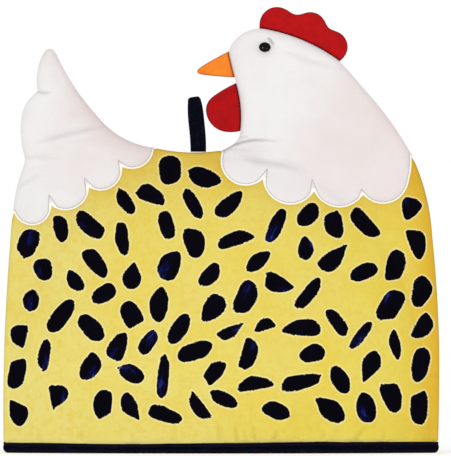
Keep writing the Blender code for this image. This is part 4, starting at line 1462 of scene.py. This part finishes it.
def make_loop():
    """The folded tape: its two legs side by side, its selvedges a little thicker."""
    path = loop_path()
    spots = evenly(path, 0.9)
    tangent = np.gradient(spots, axis=0)
    tangent /= np.linalg.norm(tangent, axis=1)[:, None]
    normal = np.stack([-tangent[:, 1], tangent[:, 0]], axis=1)
    under_tape = LOOP_X + LOOP_W * np.array([-0.5, -0.25, 0.0, 0.25, 0.5])
    foot = np.interp(under_tape, back_seam[:, 0], back_seam[:, 1]).max() + GAP - 0.1
    # across the tape, from one selvedge to the other and back underneath
    half_t = LOOP_T / 2 * 0.86
    across = [(-1.0, 0.0), (-0.985, 0.75), (-0.93, 1.1), (-0.84, 0.82), (-0.6, 0.88), (-0.3, 0.92), (0, 0.92)]
    ring = across + [(-a, b) for a, b in across[-2::-1]]
    ring += [(a, -b) for a, b in ring[-2:0:-1]]
    points, faces, edge = [], [], []
    m = len(ring)
    for k, ((y, h), (ny, nh)) in enumerate(zip(spots, normal)):
        up = h / LOOP_HIGH
        front = y < 0
        x = LOOP_X + LOOP_LEAN * up**1.4 + (0.5 if front else -0.35) * math.sin(up * math.pi)
        w = (LOOP_W + (LOOP_TOP_W - LOOP_W) * up**6) / 2 * (1 + 0.02 * math.sin(9 * up + (0 if front else 2)))
        twist = 0.20 * math.sin(up * math.pi * 0.9)
        for a, b in ring:
            round_off = 1.4 * smooth(0.955, 1.0, up) * abs(a) ** 6
            dx = a * w
            off = b * half_t - 0.35 * (a * a) * math.sin(up * math.pi)
            points.append(
                (x + dx, y + ny * off + twist * a * 0.9, foot + h + nh * off + 0.75 * a * smooth(0.5, 1.0, up) - round_off)
            )
            edge.append((1 - abs(a)) * w)
    for k in range(len(spots) - 1):
        for i in range(m):
            j = (i + 1) % m
            faces.append((k * m + i, k * m + j, k * m + m + j, k * m + m + i))
    faces.append(tuple(range(m))[::-1])
    faces.append(tuple((len(spots) - 1) * m + i for i in range(m)))
    obj = build(
        "loop_tape", np.array(points), faces, [loop_cloth()], replaces=["hanging_loop"], attributes={"selvedge": edge}
    )
    return obj


def make_eye(side, word, material):
    """A domed oval bead with a turned-in foot."""
    face_y = abs(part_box(f"eye_{word}")[0 if side > 0 else 1].y) / MM
    rings = [(r, EYE_HIGH - 1.0 * r**2 - 1.1 * r**6) for r in (0.0, 0.12, 0.24, 0.36, 0.48, 0.6, 0.7, 0.8, 0.88, 0.94, 0.98)]
    rings += [(1.0, 0.95), (0.99, 0.72), (0.95, 0.5), (0.86, 0.3), (0.72, 0.12), (0.5, 0.0)]
    crown_low = 1.2      # the cloth leans back here, so the crown sits low in the bead's outline

    sides = 56
    points = [(EYE_X, side * (face_y + EYE_HIGH), EYE_Z - crown_low)]
    for i, (r, h) in enumerate(rings[1:]):
        for k in range(sides):
            a = 2 * math.pi * k / sides
            up = r * EYE_H / 2 * math.sin(a) - (crown_low * (1 - r * r) if i < 10 else 0)
            points.append((EYE_X + r * EYE_W / 2 * math.cos(a), side * (face_y + h), EYE_Z + up))
    faces = [(0, 1 + k, 1 + (k + 1) % sides) for k in range(sides)]
    for m in range(len(rings) - 2):
        a, b = 1 + m * sides, 1 + (m + 1) * sides
        faces += [(a + k, a + (k + 1) % sides, b + (k + 1) % sides, b + k) for k in range(sides)]
    last = 1 + (len(rings) - 2) * sides
    faces.append(tuple(last + k for k in range(sides)))
    obj = build(f"bead_eye_{word}", np.array(points), faces, [material], replaces=[f"eye_{word}"])
    return obj


def make_binding(material):
    """The bias strip: folded edge at the top, stitched down just below it, rolled under."""
    half = HEM_END.x + GAP
    xs = evenly(np.array([[-half, 0.0], [half, 0.0]]), 2.2)[:, 0]
    xs = np.sign(xs) * half * (1 - (1 - np.abs(xs) / half) ** 1.06)

    def plan(xs, side, inner):
        p = np.stack([np.clip(xs, -HEM_END.x, HEM_END.x), np.full(len(xs), HEM_LOW)], axis=1)
        if inner:
            return hollow(p, side) + SEAM_GAP / 2 - GAP
        thick = np.minimum(roll(distance(p, panel_seam), 0.9, PAD_T), HEM_T)
        return SEAM_GAP / 2 + hollow(p, side) + thick + GAP + BIND_T

    outer, inner = [], []
    for side in (-1, 1):
        line = xs if side < 0 else xs[::-1]
        y = plan(line, side, False)
        outer.append(np.stack([line, side * y], axis=1))
        xi = np.clip(line, -BIND_INNER_HALF, BIND_INNER_HALF)
        inner.append(np.stack([xi, side * plan(xi, side, True)], axis=1))
    # rounded ends where the strip turns the side seam
    turn = np.radians(np.linspace(90, -90, 9))[1:-1]
    y_end = abs(outer[0][-1][1])
    cap_right = np.stack([half + BIND_T * np.cos(turn), -y_end * np.sin(turn)], axis=1)
    cap_left = np.stack([-(half + BIND_T * np.cos(turn)), y_end * np.sin(turn)], axis=1)
    yi = abs(inner[0][-1][1])
    in_right = np.stack([np.full(7, BIND_INNER_HALF), -yi * np.sin(turn)], axis=1)
    in_left = np.stack([np.full(7, -BIND_INNER_HALF), yi * np.sin(turn)], axis=1)
    out_line = np.concatenate([outer[0], cap_right, outer[1], cap_left])
    in_line = np.concatenate([inner[0], in_right, inner[1], in_left])

    def normals(line):
        t = np.roll(line, -1, axis=0) - np.roll(line, 1, axis=0)
        t /= np.maximum(np.linalg.norm(t, axis=1), 1e-9)[:, None]
        return np.stack([t[:, 1], -t[:, 0]], axis=1)

    out_n, in_n = normals(out_line), -normals(in_line)
    wave_out, wave_in, wave_h = Wander(41, 30.0), Wander(42, 30.0), Wander(43, 45.0)
    points, fold, m = [], [], 0
    for o, no, i, ni in zip(out_line, out_n, in_line, in_n):
        high = band_high(o[None], -1 if o[1] <= 0 else 1)[0] + 0.10 * wave_h(o[None])[0]
        puff = 0.16 * wave_out(o[None])[0]
        past = max(0.0, abs(o[0]) - (half + BIND_T - 2.6)) / 2.6
        lift = 2.3 * (1 - math.sqrt(max(0.0, 1 - min(past, 1.0) ** 2)))
        low_h = min(high, BIND_H + 0.2) + 0.1 * wave_in(i[None])[0]
        section = [
            # outer layer, from underneath to its folded top edge: out, up, paler fold
            (-1.9, 0.00, 0.0), (-1.1, 0.05, 0.1), (-0.45, 0.35, 0.3), (-0.08, 1.0, 0.1), (0.04 + puff * 0.6, 1.6, 0.5),
            (0.08 + puff, 2.2, 0.5), (0.12 + puff, 2.8, 0.0),
            (0.16 + puff, high * 0.42, 0.0), (0.12 + puff, high * 0.60, 0.0), (0.02 + puff * 0.5, high - 2.5, 0.1),
            (-0.28, high - 2.1, 0.35), (-0.36, high - 1.7, 0.95), (-0.26, high - 1.35, 0.4), (0.0, high - 1.0, 0.0),
            (0.05, high - 0.6, 0.1), (-0.05, high - 0.25, 0.6), (-0.30, high, 0.8), (-0.62, high - 0.05, 0.6), (-BIND_T + 0.1, high - 0.45, 0.0),
            (-BIND_T, high - 1.2, 0.0), (-BIND_T, BIND_T, 0.0),
        ]
        ring = [(o[0] + no[0] * n, o[1] + no[1] * n, z + lift * max(0.0, 1 - z / 5.0), f) for n, z, f in section]
        inner_section = [
            (0.0, BIND_T, 0.0), (0.0, low_h - 1.2, 0.0), (0.15, low_h - 0.3, 0.3), (0.45, low_h, 0.7), (0.8, low_h - 0.2, 0.7),
            (BIND_T, low_h - 0.8, 0.3), (BIND_T - 0.3, low_h - 1.7, 0.0), (BIND_T, low_h - 2.4, 0.0), (BIND_T + 0.12, 3.0, 0.0),
            (BIND_T, 1.0, 0.4), (0.75, 0.3, 0.4), (0.1, 0.0, 0.1),
        ]
        ring += [(i[0] + ni[0] * n, i[1] + ni[1] * n, z + lift * max(0.0, 1 - z / 5.0), f) for n, z, f in inner_section]
        m = len(ring)
        points += [r[:3] for r in ring]
        fold += [r[3] for r in ring]
    count = len(out_line)
    faces = []
    for k in range(count):
        a, b = k * m, ((k + 1) % count) * m
        faces += [(a + i, a + (i + 1) % m, b + (i + 1) % m, b + i) for i in range(m)]
    obj = build("hem_strip", np.array(points), faces, [material], replaces=["hem_binding"], attributes={"fold": fold})
    return obj


make_panel(-1, "front")
make_panel(1, "back")
for side, word in ((-1, "front"), (1, "back")):
    make_cover("tail", side, word, tail_seam, tail_free, tail_stitches, tail_pink_shade)
    make_cover("head", side, word, head_seam, head_free, head_stitches, head_pink_shade)
bead_black = bead()
make_eye(-1, "front", bead_black)
make_eye(1, "back", bead_black)
make_trim("comb_cloth", COMB, COMB_END, red)
make_trim("beak_cloth", BEAK, BEAK_END, orange)
make_trim("wattle_cloth", WATTLE, WATTLE_END, red_in_shade)
make_loop()
make_binding(binding_cloth())

# ---------------------------------------------------------------- floor, light, camera
floor_mesh = bpy.data.meshes.new("floor")
floor_mesh.from_pydata([(-4, -4, 0), (4, -4, 0), (4, 4, 0), (-4, 4, 0)], [], [(0, 1, 2, 3)])
floor = bpy.data.objects.new("floor", floor_mesh)
bpy.context.scene.collection.objects.link(floor)
paper = Shader("pale_floor", 0.9, Specular_IOR_Level=0.1)
floor_mesh.materials.append(paper.finish((0.985, 0.985, 0.985)))

scene = bpy.context.scene
scene.view_settings.view_transform = "Standard"
scene.view_settings.look = "None"
scene.view_settings.exposure = 0.0
scene.view_settings.gamma = 1.0

world = bpy.data.worlds.new("soft_white")
world.use_nodes = True
world.node_tree.nodes["Background"].inputs["Color"].default_value = (1.0, 1.0, 1.0, 1)
world.node_tree.nodes["Background"].inputs["Strength"].default_value = 1.0
scene.world = world


def softbox(name, place, size, power, aim=(0.0, 0.0, 0.18)):
    lamp = bpy.data.lights.new(name, "AREA")
    lamp.shape = "DISK"
    lamp.size = size
    lamp.energy = power
    obj = bpy.data.objects.new(name, lamp)
    obj.location = place
    obj.rotation_euler = (Vector(aim) - Vector(place)).to_track_quat("-Z", "Y").to_euler()
    scene.collection.objects.link(obj)
    return obj


softbox("key", (-0.95, -3.0, 0.8), 0.4, 22.5)
softbox("fill", (1.0, -3.0, 0.5), 0.4, 9.5)

camera_data = bpy.data.cameras.new("camera")
camera_data.sensor_fit = "HORIZONTAL"
camera_data.sensor_width = 36.0
FAR = 15.0
camera_data.lens = 36.0 * FAR / (451 * 0.8 * MM)
camera_data.clip_end = 60.0
camera = bpy.data.objects.new("camera", camera_data)
camera.location = ((225.5 - 221) * 0.8 * MM, -FAR, (453 - 228.2) * 0.8 * MM)
camera.rotation_euler = (math.radians(90), 0, 0)
scene.collection.objects.link(camera)
scene.camera = camera
